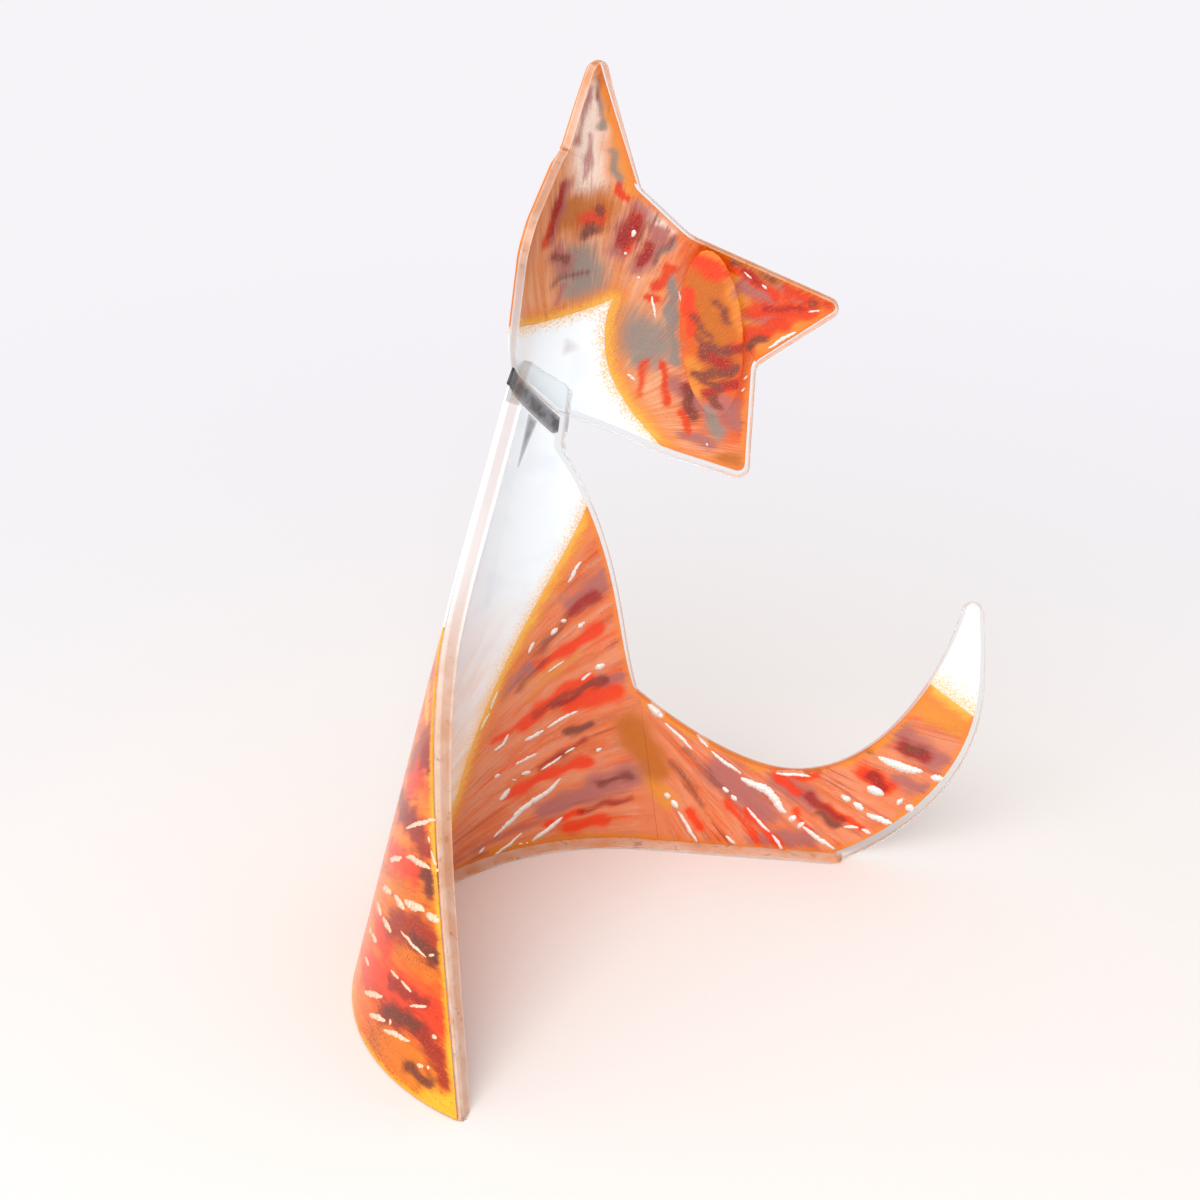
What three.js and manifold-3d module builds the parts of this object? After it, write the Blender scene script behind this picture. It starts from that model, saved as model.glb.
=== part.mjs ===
// A seated cat of kiln-formed glass. Two clear sheets, lapped at the neck, carry fields of fired
// colour on their front face. Both sheets are drawn flat and then folded: the tail side stays a
// flat wing, and the other side curls round a cone, so that the cat stands on its lower edge.
import * as THREE from 'three';
import { mergeVertices } from 'three/addons/utils/BufferGeometryUtils.js';
import Module from 'manifold-3d';

const wasm = await Module();
wasm.setup();

// Curl of the sheets, in millimetres and degrees
const APEX_HEIGHT = 300;
const FOOT_HALF_WIDTH = 69;
const FOOT_HALF_DEPTH = 73.5;
const CURL_ANGLE = 156;
const BODY_FOLDS = 17;
const HEAD_FOLDS = 9;

// Glass and colour layers
const BODY_THICKNESS = 5;
const BODY_EDGE_ROUND = 2;
const HEAD_THICKNESS = 2.6;
const HEAD_EDGE_ROUND = 1.1;
const POWDER_THICKNESS = 0.5;
const INLAY_THICKNESS = 0.7;
const COLLAR_THICKNESS = 0.8;
const SEAT_GAP = 0.1;
const SEAM_GAP = 0.3;
const CLEAR_RIM = 2.4;
const CORNER_SPARE = 0.8;
const TIP_ROUND = CLEAR_RIM + CORNER_SPARE;

// Head pose on the flat pattern: x from the first fold, y from the floor
const HEAD_X = -22.8;
const HEAD_Y = 158;
const HEAD_ANGLE = 47;

// Head outline: rise up the head's middle line, reach to its left or right
const LEFT_CHIN_DROP = 12.8;
const LEFT_CHIN_REACH = 13.5;
const RIGHT_CHIN_DROP = 15.4;
const RIGHT_CHIN_REACH = 12;
const CHIN_ROUND = 3.5;
const RIGHT_JAW_DROP = 7.8;
const RIGHT_JAW_REACH = 40;
const RIGHT_JAW_ROUND = 60;
const LEFT_CHEEK_RISE = 11;
const LEFT_CHEEK_REACH = 66;
const LEFT_CHEEK_ROUND = 9;
const RIGHT_CHEEK_RISE = 5;
const RIGHT_CHEEK_REACH = 65;
const RIGHT_CHEEK_ROUND = 3.5;
const LEFT_EAR_ROOT_RISE = 41.5;
const LEFT_EAR_ROOT_REACH = 42;
const RIGHT_EAR_ROOT_RISE = 31.3;
const RIGHT_EAR_ROOT_REACH = 42.3;
const EAR_ROOT_ROUND = 4;
const CROWN_RISE = 45.8;
const LEFT_CROWN_REACH = 14;
const RIGHT_CROWN_REACH = 4;
const RIGHT_CROWN_ROUND = 12;
const LEFT_EAR_RISE = 70.2;
const LEFT_EAR_REACH = 51.5;
const RIGHT_EAR_RISE = 62;
const RIGHT_EAR_REACH = 47.5;
const EAR_SEAM_SPARE = 0.3;

// Face colours and inlays, set out from the nose
const NOSE_REACH = 2.5;
const NOSE_WIDTH = 8;
const NOSE_LENGTH = 6;
const NOSE_ROUND = 1.2;
const BLAZE_RISE = 18;
const MUZZLE_RISE = 1;
const MUZZLE_HALF = 15;
const JOWL_DROP = 5.5;
const JOWL_HALF = 40;
const LEFT_EYE_RISE = 18.2;
const RIGHT_EYE_RISE = 13.5;
const EYE_REACH = 11.3;
const EYE_LENGTH = 14.6;
const EYE_WIDTH = 7.5;
const EYE_ANGLE = 58;
const WHISKER_RISE = 7.2;
const WHISKER_REACH = 13;
const WHISKER_LENGTH = 6;
const WHISKER_WIDTH = 2.6;
const PATCH_RISE = 30;
const PATCH_REACH = 27;
const PATCH_LENGTH = 48;
const PATCH_WIDTH = 17;
const PATCH_ANGLE = 133;

// Neck, collar and tag, in the head's own rise and reach
const TAB_RIGHT_DROP = 7.3;
const TAB_RIGHT_REACH = 7.3;
const TAB_LEFT_DROP = 9.5;
const TAB_LEFT_REACH = 19;
const TAB_ROUND = BODY_EDGE_ROUND + CORNER_SPARE;
const WAIST_DROP = 22;
const WAIST_REACH = 18;
const COLLAR_WIDTH = 4.6;
const COLLAR_DROP = SEAM_GAP + COLLAR_WIDTH;
const COLLAR_RIM = 0.6;
const COLLAR_END_ROUND = COLLAR_WIDTH / 2.2;
const COLLAR_END_REACH = 15.5;
const TAG_REACH = 3.6;
const TAG_WIDTH = 5.5;
const TAG_LENGTH = 16;
const TAG_LEAN = 7;
const TAG_ROUND = 0.5;

// Body outline on the flat pattern
const NOTCH_X = -1.8;
const NOTCH_Y = 51.8;
const TAIL_VALLEY_X = 42;
const TAIL_VALLEY_Y = 29.2;
const TAIL_TIP_X = 91.2;
const TAIL_TIP_Y = 83.4;
const TAIL_BELLY_BULGE = 1.3;
const TAIL_BELLY_X = TAIL_TIP_X + TIP_ROUND + TAIL_BELLY_BULGE;
const TAIL_BELLY_Y = 60;
const TAIL_FOOT_X = 57;
const CHEST_X = -95;
const CHEST_Y = 96;
const FRONT_BULGE = 4.4;
const FLOOR_TRIM = 6;

// Colour seams on the body
const FLANK_X = -14;
const FLANK_Y = 116;
const HAUNCH_X = -58;
const HAUNCH_Y = 28;
const BIB_POINT_X = -66;
const BIB_POINT_Y = 12;
const SPIKE_X = -84;
const SPIKE_Y = 106;
const TAIL_SEAM_X = 5;
const TAIL_WHITE_LENGTH = 36;
const TAIL_WHITE_ANGLE = 37;

const FACET_STEPS = 4;
const CURVE_STEPS = 7;
const EDGE_STEPS = 2;
const FAR = 400;
const ON_FOLD = 1e-6;
const WELD = 1e-4;

const CLEAR_GLASS = 0xf3f1ee;
const WHITE_GLASS = 0xf7f4f0;
const ORANGE_GLASS = 0xd9722f;
const RUST_GLASS = 0xb8431f;
const AMBER_GLASS = 0xd98a3c;
const SMOKE_GLASS = 0x6e6660;
const BLACK_GLASS = 0x141414;
const GLASS_ROUGHNESS = 0.05;
const POWDER_ROUGHNESS = 0.15;

const radians = THREE.MathUtils.degToRad;
const point = (x, y) => new THREE.Vector2(x, y);

// A place on the flat pattern, from its reach across the head and its rise up the head
function onHead(across, rise) {
  const turned = point(across, rise).rotateAround(point(0, 0), radians(HEAD_ANGLE - 90));
  return turned.add(point(HEAD_X, HEAD_Y));
}

// The strips of a folded sheet. The flat wing comes first, and each later strip hangs from the
// apex between two rulings of the cone. across, along and out are the strip's own axes.
function foldedStrips(folds) {
  const apex = new THREE.Vector3(0, 0, APEX_HEIGHT);
  const ruling = (index) => {
    const angle = radians(CURL_ANGLE / BODY_FOLDS) * index;
    const foot = new THREE.Vector3(
      -FOOT_HALF_WIDTH * Math.sin(angle),
      FOOT_HALF_DEPTH * (Math.cos(angle) - 1),
      0,
    );
    return foot.sub(apex).normalize();
  };
  const wing = {
    start: 0,
    along: ruling(0),
    across: new THREE.Vector3(-1, 0, 0),
    out: new THREE.Vector3(0, 1, 0),
  };
  const strips = [wing];
  let start = 0;
  for (let index = 0; index <= folds; index += 1) {
    const along = ruling(index);
    const next = ruling(index + 1);
    const across = next.clone().addScaledVector(along, -next.dot(along)).normalize();
    const out = along.clone().cross(across);
    const before = strips.at(-1).out;
    const mitre = before.clone().add(out).divideScalar(1 + before.dot(out));
    strips.push({ start, along, across, out, mitre });
    start += along.angleTo(next);
  }
  return strips;
}

const BODY_STRIPS = foldedStrips(BODY_FOLDS);
const HEAD_STRIPS = foldedStrips(HEAD_FOLDS);

// Distance of a flat point beyond a strip's first ruling, nought on the ruling itself
function beyondFold(place, strip) {
  const drop = APEX_HEIGHT - place.y;
  const distance = -place.x * Math.cos(strip.start) - drop * Math.sin(strip.start);
  return Math.abs(distance) < ON_FOLD ? 0 : distance;
}

function splitTriangle(triangle, strip) {
  const sides = triangle.map((corner) => beyondFold(corner, strip));
  if (sides.every((side) => side >= 0) || sides.every((side) => side <= 0)) return [triangle];
  const halves = [[], []];
  triangle.forEach((corner, index) => {
    const next = (index + 1) % 3;
    if (sides[index] <= 0) halves[0].push(corner);
    if (sides[index] >= 0) halves[1].push(corner);
    if (sides[index] * sides[next] < 0) {
      const [low, high] = sides[index] < 0 ? [index, next] : [next, index];
      const share = sides[low] / (sides[low] - sides[high]);
      const cut = triangle[low].clone().lerp(triangle[high], share);
      halves[0].push(cut);
      halves[1].push(cut);
    }
  });
  return halves.flatMap((corners) =>
    corners.slice(2).map((corner, index) => [corners[0], corners[index + 1], corner]),
  );
}

function foldPlace(place, strips) {
  const index = strips.findLastIndex((strip, at) => at === 0 || beyondFold(place, strip) >= 0);
  const strip = strips[index];
  const onFold = index > 0 && beyondFold(place, strip) === 0;
  const drop = APEX_HEIGHT - place.y;
  const reach = Math.hypot(place.x, drop);
  const swing = Math.atan2(-place.x, drop) - strip.start;
  return new THREE.Vector3(0, 0, APEX_HEIGHT)
    .addScaledVector(strip.along, reach * Math.cos(swing))
    .addScaledVector(strip.across, reach * Math.sin(swing))
    .addScaledVector(onFold ? strip.mitre : strip.out, place.z);
}

// Folds a flat solid, whose z is its height over the front face of the body glass
function fold(geometry, strips) {
  const flat = geometry.index ? geometry.toNonIndexed() : geometry;
  const source = flat.getAttribute('position');
  let triangles = [];
  for (let first = 0; first < source.count; first += 3) {
    const corner = (step) => new THREE.Vector3().fromBufferAttribute(source, first + step);
    triangles.push([corner(0), corner(2), corner(1)]);
  }
  for (const strip of strips.slice(1)) {
    triangles = triangles.flatMap((triangle) => splitTriangle(triangle, strip));
  }
  const places = triangles.flat().map((place) => foldPlace(place, strips));
  return mergeVertices(new THREE.BufferGeometry().setFromPoints(places), WELD);
}

function toSolid(geometry) {
  const bare = new THREE.BufferGeometry();
  bare.setAttribute('position', geometry.getAttribute('position'));
  bare.setIndex(geometry.index);
  const merged = mergeVertices(bare, WELD);
  const vertProperties = new Float32Array(merged.getAttribute('position').array);
  const triVerts = new Uint32Array(merged.index.array);
  return new wasm.Manifold(new wasm.Mesh({ numProp: 3, vertProperties, triVerts }));
}

function toGeometry(solid) {
  const mesh = solid.getMesh();
  const geometry = new THREE.BufferGeometry();
  geometry.setAttribute('position', new THREE.BufferAttribute(mesh.vertProperties, 3));
  geometry.setIndex(new THREE.BufferAttribute(mesh.triVerts, 1));
  return geometry;
}

// A flat slab between two heights, with its edges rounded where a radius is given
function slab(outline, low, high, round = 0) {
  const geometry = new THREE.ExtrudeGeometry(new THREE.Shape(outline), {
    depth: high - low - 2 * round,
    bevelEnabled: round > 0,
    bevelThickness: round,
    bevelSize: round,
    bevelOffset: -round,
    bevelSegments: EDGE_STEPS,
  });
  return geometry.translate(0, 0, low + round);
}

const prism = (outline) => toSolid(slab(outline, -FAR, FAR));

// Moves each side of an outline outwards by a distance, or inwards by a negative one
function grown(outline, distance) {
  const turn = THREE.ShapeUtils.isClockWise(outline) ? -1 : 1;
  return outline.map((corner, index) => {
    const before = corner.clone().sub(outline.at(index - 1)).normalize();
    const after = outline[(index + 1) % outline.length].clone().sub(corner).normalize();
    const sideA = point(before.y, -before.x);
    const sideB = point(after.y, -after.x);
    const mitre = sideA.clone().add(sideB).divideScalar(1 + sideA.dot(sideB));
    return corner.clone().addScaledVector(mitre, turn * distance);
  });
}

// Draws an arc at a corner of a path, tangent to the sides that run from and to its neighbours
function roundCorner(path, before, corner, after, radius) {
  const back = before.clone().sub(corner).normalize();
  const ahead = after.clone().sub(corner).normalize();
  const half = Math.acos(THREE.MathUtils.clamp(back.dot(ahead), -1, 1)) / 2;
  const middle = back.clone().add(ahead).normalize();
  const centre = corner.clone().addScaledVector(middle, radius / Math.sin(half));
  const touch = radius / Math.tan(half);
  const first = corner.clone().addScaledVector(back, touch).sub(centre).angle();
  const last = corner.clone().addScaledVector(ahead, touch).sub(centre).angle();
  path.absarc(centre.x, centre.y, radius, first, last, back.cross(ahead) > 0);
}

function roundedOutline(corners) {
  const path = new THREE.Path();
  corners.forEach(([corner, radius], index) => {
    const before = corners.at(index - 1)[0];
    const after = corners[(index + 1) % corners.length][0];
    roundCorner(path, before, corner, after, radius);
  });
  return openPoints(path, FACET_STEPS);
}

// Draws a curve to an end point, its two handles given as shares of its own run and rise
function sweep(path, end, shares) {
  const start = path.currentPoint.clone();
  const handles = shares.flatMap(([run, rise]) => [
    THREE.MathUtils.lerp(start.x, end.x, run),
    THREE.MathUtils.lerp(start.y, end.y, rise),
  ]);
  path.bezierCurveTo(...handles, end.x, end.y);
}

// The points of a closed path, without a repeated last one
function openPoints(path, steps) {
  const places = path.getPoints(steps);
  return places.filter((place, index) => place.distanceTo(places.at(index - 1)) > ON_FOLD);
}

function headOutline() {
  return roundedOutline([
    [onHead(-LEFT_CHIN_REACH, -LEFT_CHIN_DROP), CHIN_ROUND],
    [onHead(RIGHT_CHIN_REACH, -RIGHT_CHIN_DROP), CHIN_ROUND],
    [onHead(RIGHT_JAW_REACH, -RIGHT_JAW_DROP), RIGHT_JAW_ROUND],
    [onHead(RIGHT_CHEEK_REACH, RIGHT_CHEEK_RISE), RIGHT_CHEEK_ROUND],
    [onHead(RIGHT_EAR_ROOT_REACH, RIGHT_EAR_ROOT_RISE), EAR_ROOT_ROUND],
    [onHead(RIGHT_EAR_REACH, RIGHT_EAR_RISE), TIP_ROUND],
    [onHead(RIGHT_CROWN_REACH, CROWN_RISE), RIGHT_CROWN_ROUND],
    [onHead(-LEFT_CROWN_REACH, CROWN_RISE), EAR_ROOT_ROUND],
    [onHead(-LEFT_EAR_REACH, LEFT_EAR_RISE), TIP_ROUND],
    [onHead(-LEFT_EAR_ROOT_REACH, LEFT_EAR_ROOT_RISE), EAR_ROOT_ROUND],
    [onHead(-LEFT_CHEEK_REACH, LEFT_CHEEK_RISE), LEFT_CHEEK_ROUND],
  ]);
}

// A place on the flat pattern, from its reach across the head and its drop below the chin's line
function belowChin(across, drop) {
  const share = (across + LEFT_CHIN_REACH) / (LEFT_CHIN_REACH + RIGHT_CHIN_REACH);
  return onHead(across, -THREE.MathUtils.lerp(LEFT_CHIN_DROP, RIGHT_CHIN_DROP, share) - drop);
}

// The curled floor line on the flat pattern, from the toe back to the first fold
function floorLine(trim) {
  return BODY_STRIPS.slice(1).toReversed().map((strip) => {
    const reach = APEX_HEIGHT / -strip.along.z + trim;
    return point(-reach * Math.sin(strip.start), APEX_HEIGHT - reach * Math.cos(strip.start));
  });
}

// The body outline, anticlockwise from the tail's foot, with spare glass under the floor to trim
function bodyOutline(trim) {
  const path = new THREE.Path();
  path.moveTo(TAIL_FOOT_X - trim, -trim);
  path.lineTo(TAIL_FOOT_X, 0);
  sweep(path, point(TAIL_BELLY_X, TAIL_BELLY_Y), [[0.48, 0.16], [1, 0.5]]);
  sweep(path, point(TAIL_TIP_X + TIP_ROUND, TAIL_TIP_Y), [[0, 0.4], [0.6, 0.8]]);
  path.absarc(TAIL_TIP_X, TAIL_TIP_Y, TIP_ROUND, 0, Math.PI);
  sweep(path, point(TAIL_VALLEY_X, TAIL_VALLEY_Y), [[0.12, 0.44], [0.48, 1]]);
  sweep(path, point(NOTCH_X, NOTCH_Y), [[0.33, 0], [0.77, 0.6]]);
  const waist = onHead(WAIST_REACH, -WAIST_DROP);
  sweep(path, waist, [[0.24, 0.24], [0.15, 0.58]]);
  const tabRight = onHead(TAB_RIGHT_REACH, -TAB_RIGHT_DROP);
  const tabLeft = onHead(-TAB_LEFT_REACH, -TAB_LEFT_DROP);
  const neckLeft = belowChin(-TAB_LEFT_REACH, COLLAR_DROP);
  roundCorner(path, waist, tabRight, tabLeft, TAB_ROUND);
  roundCorner(path, tabRight, tabLeft, neckLeft, TAB_ROUND);
  path.lineTo(neckLeft.x, neckLeft.y);
  const chest = point(CHEST_X, CHEST_Y);
  sweep(path, chest, [[0.2, 0.33], [0.44, 0.8]]);
  const toe = floorLine(0)[0];
  const run = toe.clone().sub(chest).normalize();
  const bulge = chest.clone().lerp(toe, 0.5).addScaledVector(point(run.y, -run.x), FRONT_BULGE);
  path.quadraticCurveTo(bulge.x, bulge.y, toe.x, toe.y);
  for (const place of floorLine(trim)) path.lineTo(place.x, place.y);
  return openPoints(path, CURVE_STEPS);
}

function bodyGlass() {
  const sheet = slab(bodyOutline(FLOOR_TRIM), -BODY_THICKNESS, 0, BODY_EDGE_ROUND);
  const ground = new THREE.BoxGeometry(2 * FAR, 2 * FAR, FAR).translate(0, 0, -FAR / 2);
  return toGeometry(toSolid(fold(sheet, BODY_STRIPS)).subtract(toSolid(ground)));
}

const HEAD_BACK = SEAT_GAP;
const HEAD_FRONT = HEAD_BACK + HEAD_THICKNESS;
const FACE_HEIGHT = HEAD_FRONT + SEAT_GAP;

function headGlass() {
  return fold(slab(headOutline(), HEAD_BACK, HEAD_FRONT, HEAD_EDGE_ROUND), HEAD_STRIPS);
}

// Flat colour layers inside the clear rim, before they are cut into fields
function bodyLayer(rim, thickness) {
  return toSolid(slab(grown(bodyOutline(0), -rim), SEAT_GAP, SEAT_GAP + thickness));
}

function headLayer() {
  const inside = grown(headOutline(), -CLEAR_RIM);
  return toSolid(slab(inside, FACE_HEIGHT, FACE_HEIGHT + POWDER_THICKNESS));
}

const cutFrom = (solid, outlines) =>
  outlines.reduce((rest, outline) => rest.subtract(prism(grown(outline, SEAM_GAP))), solid);

function bodyField(region, gaps) {
  const layer = bodyLayer(CLEAR_RIM, POWDER_THICKNESS).intersect(prism(region));
  return fold(toGeometry(cutFrom(layer, gaps)), BODY_STRIPS);
}

function headField(region, gaps) {
  const layer = headLayer().intersect(prism(region));
  return fold(toGeometry(cutFrom(layer, gaps)), HEAD_STRIPS);
}

function rightFlankRegion() {
  const path = new THREE.Path();
  path.moveTo(FLANK_X, FLANK_Y);
  sweep(path, point(HAUNCH_X, HAUNCH_Y), [[0.14, 0.27], [0.77, 0.61]]);
  path.lineTo(BIB_POINT_X, BIB_POINT_Y);
  path.lineTo(BIB_POINT_X, -FLOOR_TRIM);
  path.lineTo(TAIL_SEAM_X, -FLOOR_TRIM);
  path.lineTo(NOTCH_X, NOTCH_Y);
  path.lineTo(TAIL_VALLEY_X, FLANK_Y);
  return openPoints(path, CURVE_STEPS);
}

function leftFlankRegion() {
  const seam = BIB_POINT_X - SEAM_GAP;
  return [
    point(SPIKE_X, SPIKE_Y),
    point(-FAR, SPIKE_Y),
    point(-FAR, -FLOOR_TRIM),
    point(seam, -FLOOR_TRIM),
    point(seam, BIB_POINT_Y),
  ];
}

function tailRegion() {
  return [
    point(NOTCH_X + SEAM_GAP, NOTCH_Y),
    point(TAIL_SEAM_X + SEAM_GAP, -FLOOR_TRIM),
    point(FAR, -FLOOR_TRIM),
    point(FAR, FLANK_Y),
    point(NOTCH_X + SEAM_GAP, FLANK_Y),
  ];
}

function tailTipRegion() {
  const level = TAIL_TIP_Y + TIP_ROUND - TAIL_WHITE_LENGTH;
  const slope = Math.tan(radians(TAIL_WHITE_ANGLE));
  return [
    point(TAIL_VALLEY_X, level + slope * (TAIL_TIP_X - TAIL_VALLEY_X)),
    point(FAR, level + slope * (TAIL_TIP_X - FAR)),
    point(FAR, FAR),
    point(TAIL_VALLEY_X, FAR),
  ];
}

// All of the sheet from the collar's lower edge upwards
function aboveBibRegion() {
  return [
    belowChin(-FAR, COLLAR_DROP),
    belowChin(FAR, COLLAR_DROP),
    onHead(FAR, FAR),
    onHead(-FAR, FAR),
  ];
}

function collarRegion() {
  return roundedOutline([
    [belowChin(-FAR, SEAM_GAP), COLLAR_END_ROUND],
    [belowChin(-FAR, COLLAR_DROP), COLLAR_END_ROUND],
    [belowChin(COLLAR_END_REACH, COLLAR_DROP), COLLAR_END_ROUND],
    [belowChin(COLLAR_END_REACH, SEAM_GAP), COLLAR_END_ROUND],
  ]);
}

function tagOutline() {
  const top = COLLAR_DROP + SEAM_GAP;
  return roundedOutline([
    [belowChin(TAG_REACH - TAG_WIDTH / 2, top), TAG_ROUND],
    [belowChin(TAG_REACH + TAG_LEAN, top + TAG_LENGTH), TAG_ROUND],
    [belowChin(TAG_REACH + TAG_WIDTH / 2, top), TAG_ROUND],
  ]);
}

function muzzleRegion() {
  const path = new THREE.Path();
  const blaze = [[0.17, 0.41], [0.6, 0.79]];
  const jowl = [[0.2, 0.38], [0.4, 0.77]];
  const reversed = (shares) => shares.toReversed().map(([run, rise]) => [1 - run, 1 - rise]);
  path.moveTo(NOSE_REACH, BLAZE_RISE);
  sweep(path, point(NOSE_REACH - MUZZLE_HALF, MUZZLE_RISE), blaze);
  sweep(path, point(NOSE_REACH - JOWL_HALF, -JOWL_DROP), jowl);
  path.lineTo(NOSE_REACH - JOWL_HALF, -FAR);
  path.lineTo(NOSE_REACH + JOWL_HALF, -FAR);
  path.lineTo(NOSE_REACH + JOWL_HALF, -JOWL_DROP);
  sweep(path, point(NOSE_REACH + MUZZLE_HALF, MUZZLE_RISE), reversed(jowl));
  sweep(path, point(NOSE_REACH, BLAZE_RISE), reversed(blaze));
  return openPoints(path, FACET_STEPS).map((place) => onHead(place.x, place.y));
}

// The head beyond the line from the crown to the root of an ear, with side 1 for the right ear
function earRegion(side) {
  const crown = onHead(side > 0 ? RIGHT_CROWN_REACH : -LEFT_CROWN_REACH, CROWN_RISE);
  const leftRoot = onHead(-LEFT_EAR_ROOT_REACH, LEFT_EAR_ROOT_RISE);
  const rightRoot = onHead(RIGHT_EAR_ROOT_REACH, RIGHT_EAR_ROOT_RISE);
  const root = side > 0 ? rightRoot : leftRoot;
  const base = root.clone().sub(crown);
  const outwards = point(-base.y, base.x).setLength(FAR).multiplyScalar(side);
  const inner = crown.clone().addScaledVector(base, -EAR_SEAM_SPARE);
  const outer = root.clone().addScaledVector(base, EAR_SEAM_SPARE);
  return [inner, outer, outer.clone().add(outwards), inner.clone().add(outwards)];
}

// An oval spot on the head, its long axis slanted from the upright towards the right
function oval(across, rise, length, width, slant) {
  const path = new THREE.Path();
  path.absellipse(across, rise, length / 2, width / 2, 0, 2 * Math.PI, false, radians(90 - slant));
  return openPoints(path, CURVE_STEPS).map((place) => onHead(place.x, place.y));
}

function eyeOutline(side) {
  const rise = side > 0 ? RIGHT_EYE_RISE : LEFT_EYE_RISE;
  return oval(NOSE_REACH + side * EYE_REACH, rise, EYE_LENGTH, EYE_WIDTH, side * EYE_ANGLE);
}

function whiskerOutline(side) {
  const across = NOSE_REACH + side * WHISKER_REACH;
  return oval(across, WHISKER_RISE, WHISKER_LENGTH, WHISKER_WIDTH, side * EYE_ANGLE);
}

function noseOutline() {
  return roundedOutline([
    [onHead(NOSE_REACH - NOSE_WIDTH / 2, NOSE_LENGTH / 2), NOSE_ROUND],
    [onHead(NOSE_REACH, -NOSE_LENGTH / 2), NOSE_ROUND],
    [onHead(NOSE_REACH + NOSE_WIDTH / 2, NOSE_LENGTH / 2), NOSE_ROUND],
  ]);
}

const inlay = (outline) =>
  fold(slab(outline, FACE_HEIGHT, FACE_HEIGHT + INLAY_THICKNESS), HEAD_STRIPS);

function chestBib() {
  const flanks = [rightFlankRegion(), leftFlankRegion(), tailRegion()];
  const layer = bodyLayer(CLEAR_RIM, POWDER_THICKNESS);
  return fold(toGeometry(cutFrom(layer, [...flanks, aboveBibRegion(), tagOutline()])), BODY_STRIPS);
}

function faceColour() {
  const fields = [muzzleRegion(), earRegion(-1), earRegion(1)];
  const spots = [-1, 1].flatMap((side) => [eyeOutline(side), whiskerOutline(side)]);
  return fold(toGeometry(cutFrom(headLayer(), [...fields, ...spots])), HEAD_STRIPS);
}

function collar() {
  const band = bodyLayer(COLLAR_RIM, COLLAR_THICKNESS).intersect(prism(collarRegion()));
  return fold(toGeometry(band), BODY_STRIPS);
}

function collarTag() {
  return fold(slab(tagOutline(), SEAT_GAP, SEAT_GAP + INLAY_THICKNESS), BODY_STRIPS);
}

// Colour fired on the back of the head, behind the right ear
function rightEarPatch() {
  const outline = oval(PATCH_REACH, PATCH_RISE, PATCH_LENGTH, PATCH_WIDTH, PATCH_ANGLE);
  const high = HEAD_BACK - SEAT_GAP;
  return fold(slab(outline, high - POWDER_THICKNESS, high), HEAD_STRIPS);
}

function piece(name, geometry, color, roughness = POWDER_ROUGHNESS) {
  const material = new THREE.MeshStandardMaterial({ color, roughness, metalness: 0 });
  const mesh = new THREE.Mesh(geometry, material);
  mesh.name = name;
  return mesh;
}

const cat = new THREE.Group();
cat.add(
  piece('body_glass', bodyGlass(), CLEAR_GLASS, GLASS_ROUGHNESS),
  piece('head_glass', headGlass(), CLEAR_GLASS, GLASS_ROUGHNESS),
  piece('chest_bib', chestBib(), WHITE_GLASS),
  piece('left_haunch_colour', bodyField(leftFlankRegion(), []), ORANGE_GLASS),
  piece('right_haunch_colour', bodyField(rightFlankRegion(), []), ORANGE_GLASS),
  piece('tail_colour', bodyField(tailRegion(), [tailTipRegion()]), RUST_GLASS),
  piece('tail_tip_white', bodyField(tailTipRegion(), []), WHITE_GLASS),
  piece('muzzle_white', headField(muzzleRegion(), [noseOutline()]), WHITE_GLASS),
  piece('face_colour', faceColour(), AMBER_GLASS),
  piece('left_ear_colour', headField(earRegion(-1), []), ORANGE_GLASS),
  piece('right_ear_colour', headField(earRegion(1), []), RUST_GLASS),
  piece('right_ear_patch', rightEarPatch(), RUST_GLASS),
  piece('left_eye', inlay(eyeOutline(-1)), SMOKE_GLASS),
  piece('right_eye', inlay(eyeOutline(1)), SMOKE_GLASS),
  piece('nose', inlay(noseOutline()), SMOKE_GLASS),
  piece('left_whisker_mark', inlay(whiskerOutline(-1)), SMOKE_GLASS),
  piece('right_whisker_mark', inlay(whiskerOutline(1)), SMOKE_GLASS),
  piece('collar', collar(), BLACK_GLASS),
  piece('collar_tag', collarTag(), SMOKE_GLASS),
);

// The frame's origin is on the floor, under the middle of the cat
const box = new THREE.Box3().setFromObject(cat);
const middle = box.getCenter(new THREE.Vector3());
cat.position.set(-middle.x, -middle.y, 0);

export default cat;
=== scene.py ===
# %% [markdown]
# # A seated cat of kiln-formed glass
#
# The real cat starts as two flat sheets of clear glass that are cut to shape, dusted with coloured
# glass powder, fired until the powder melts in, and then slumped over a mould. The mould leaves the
# tail side flat and curls the other side round a cone, so that the cat stands on its own lower
# edge. This lesson works in the same order: a flat pattern first, then colour, then the curl.

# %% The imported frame
import math

import bmesh
import bpy
import numpy as np
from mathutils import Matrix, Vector
from mathutils.geometry import delaunay_2d_cdt


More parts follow.
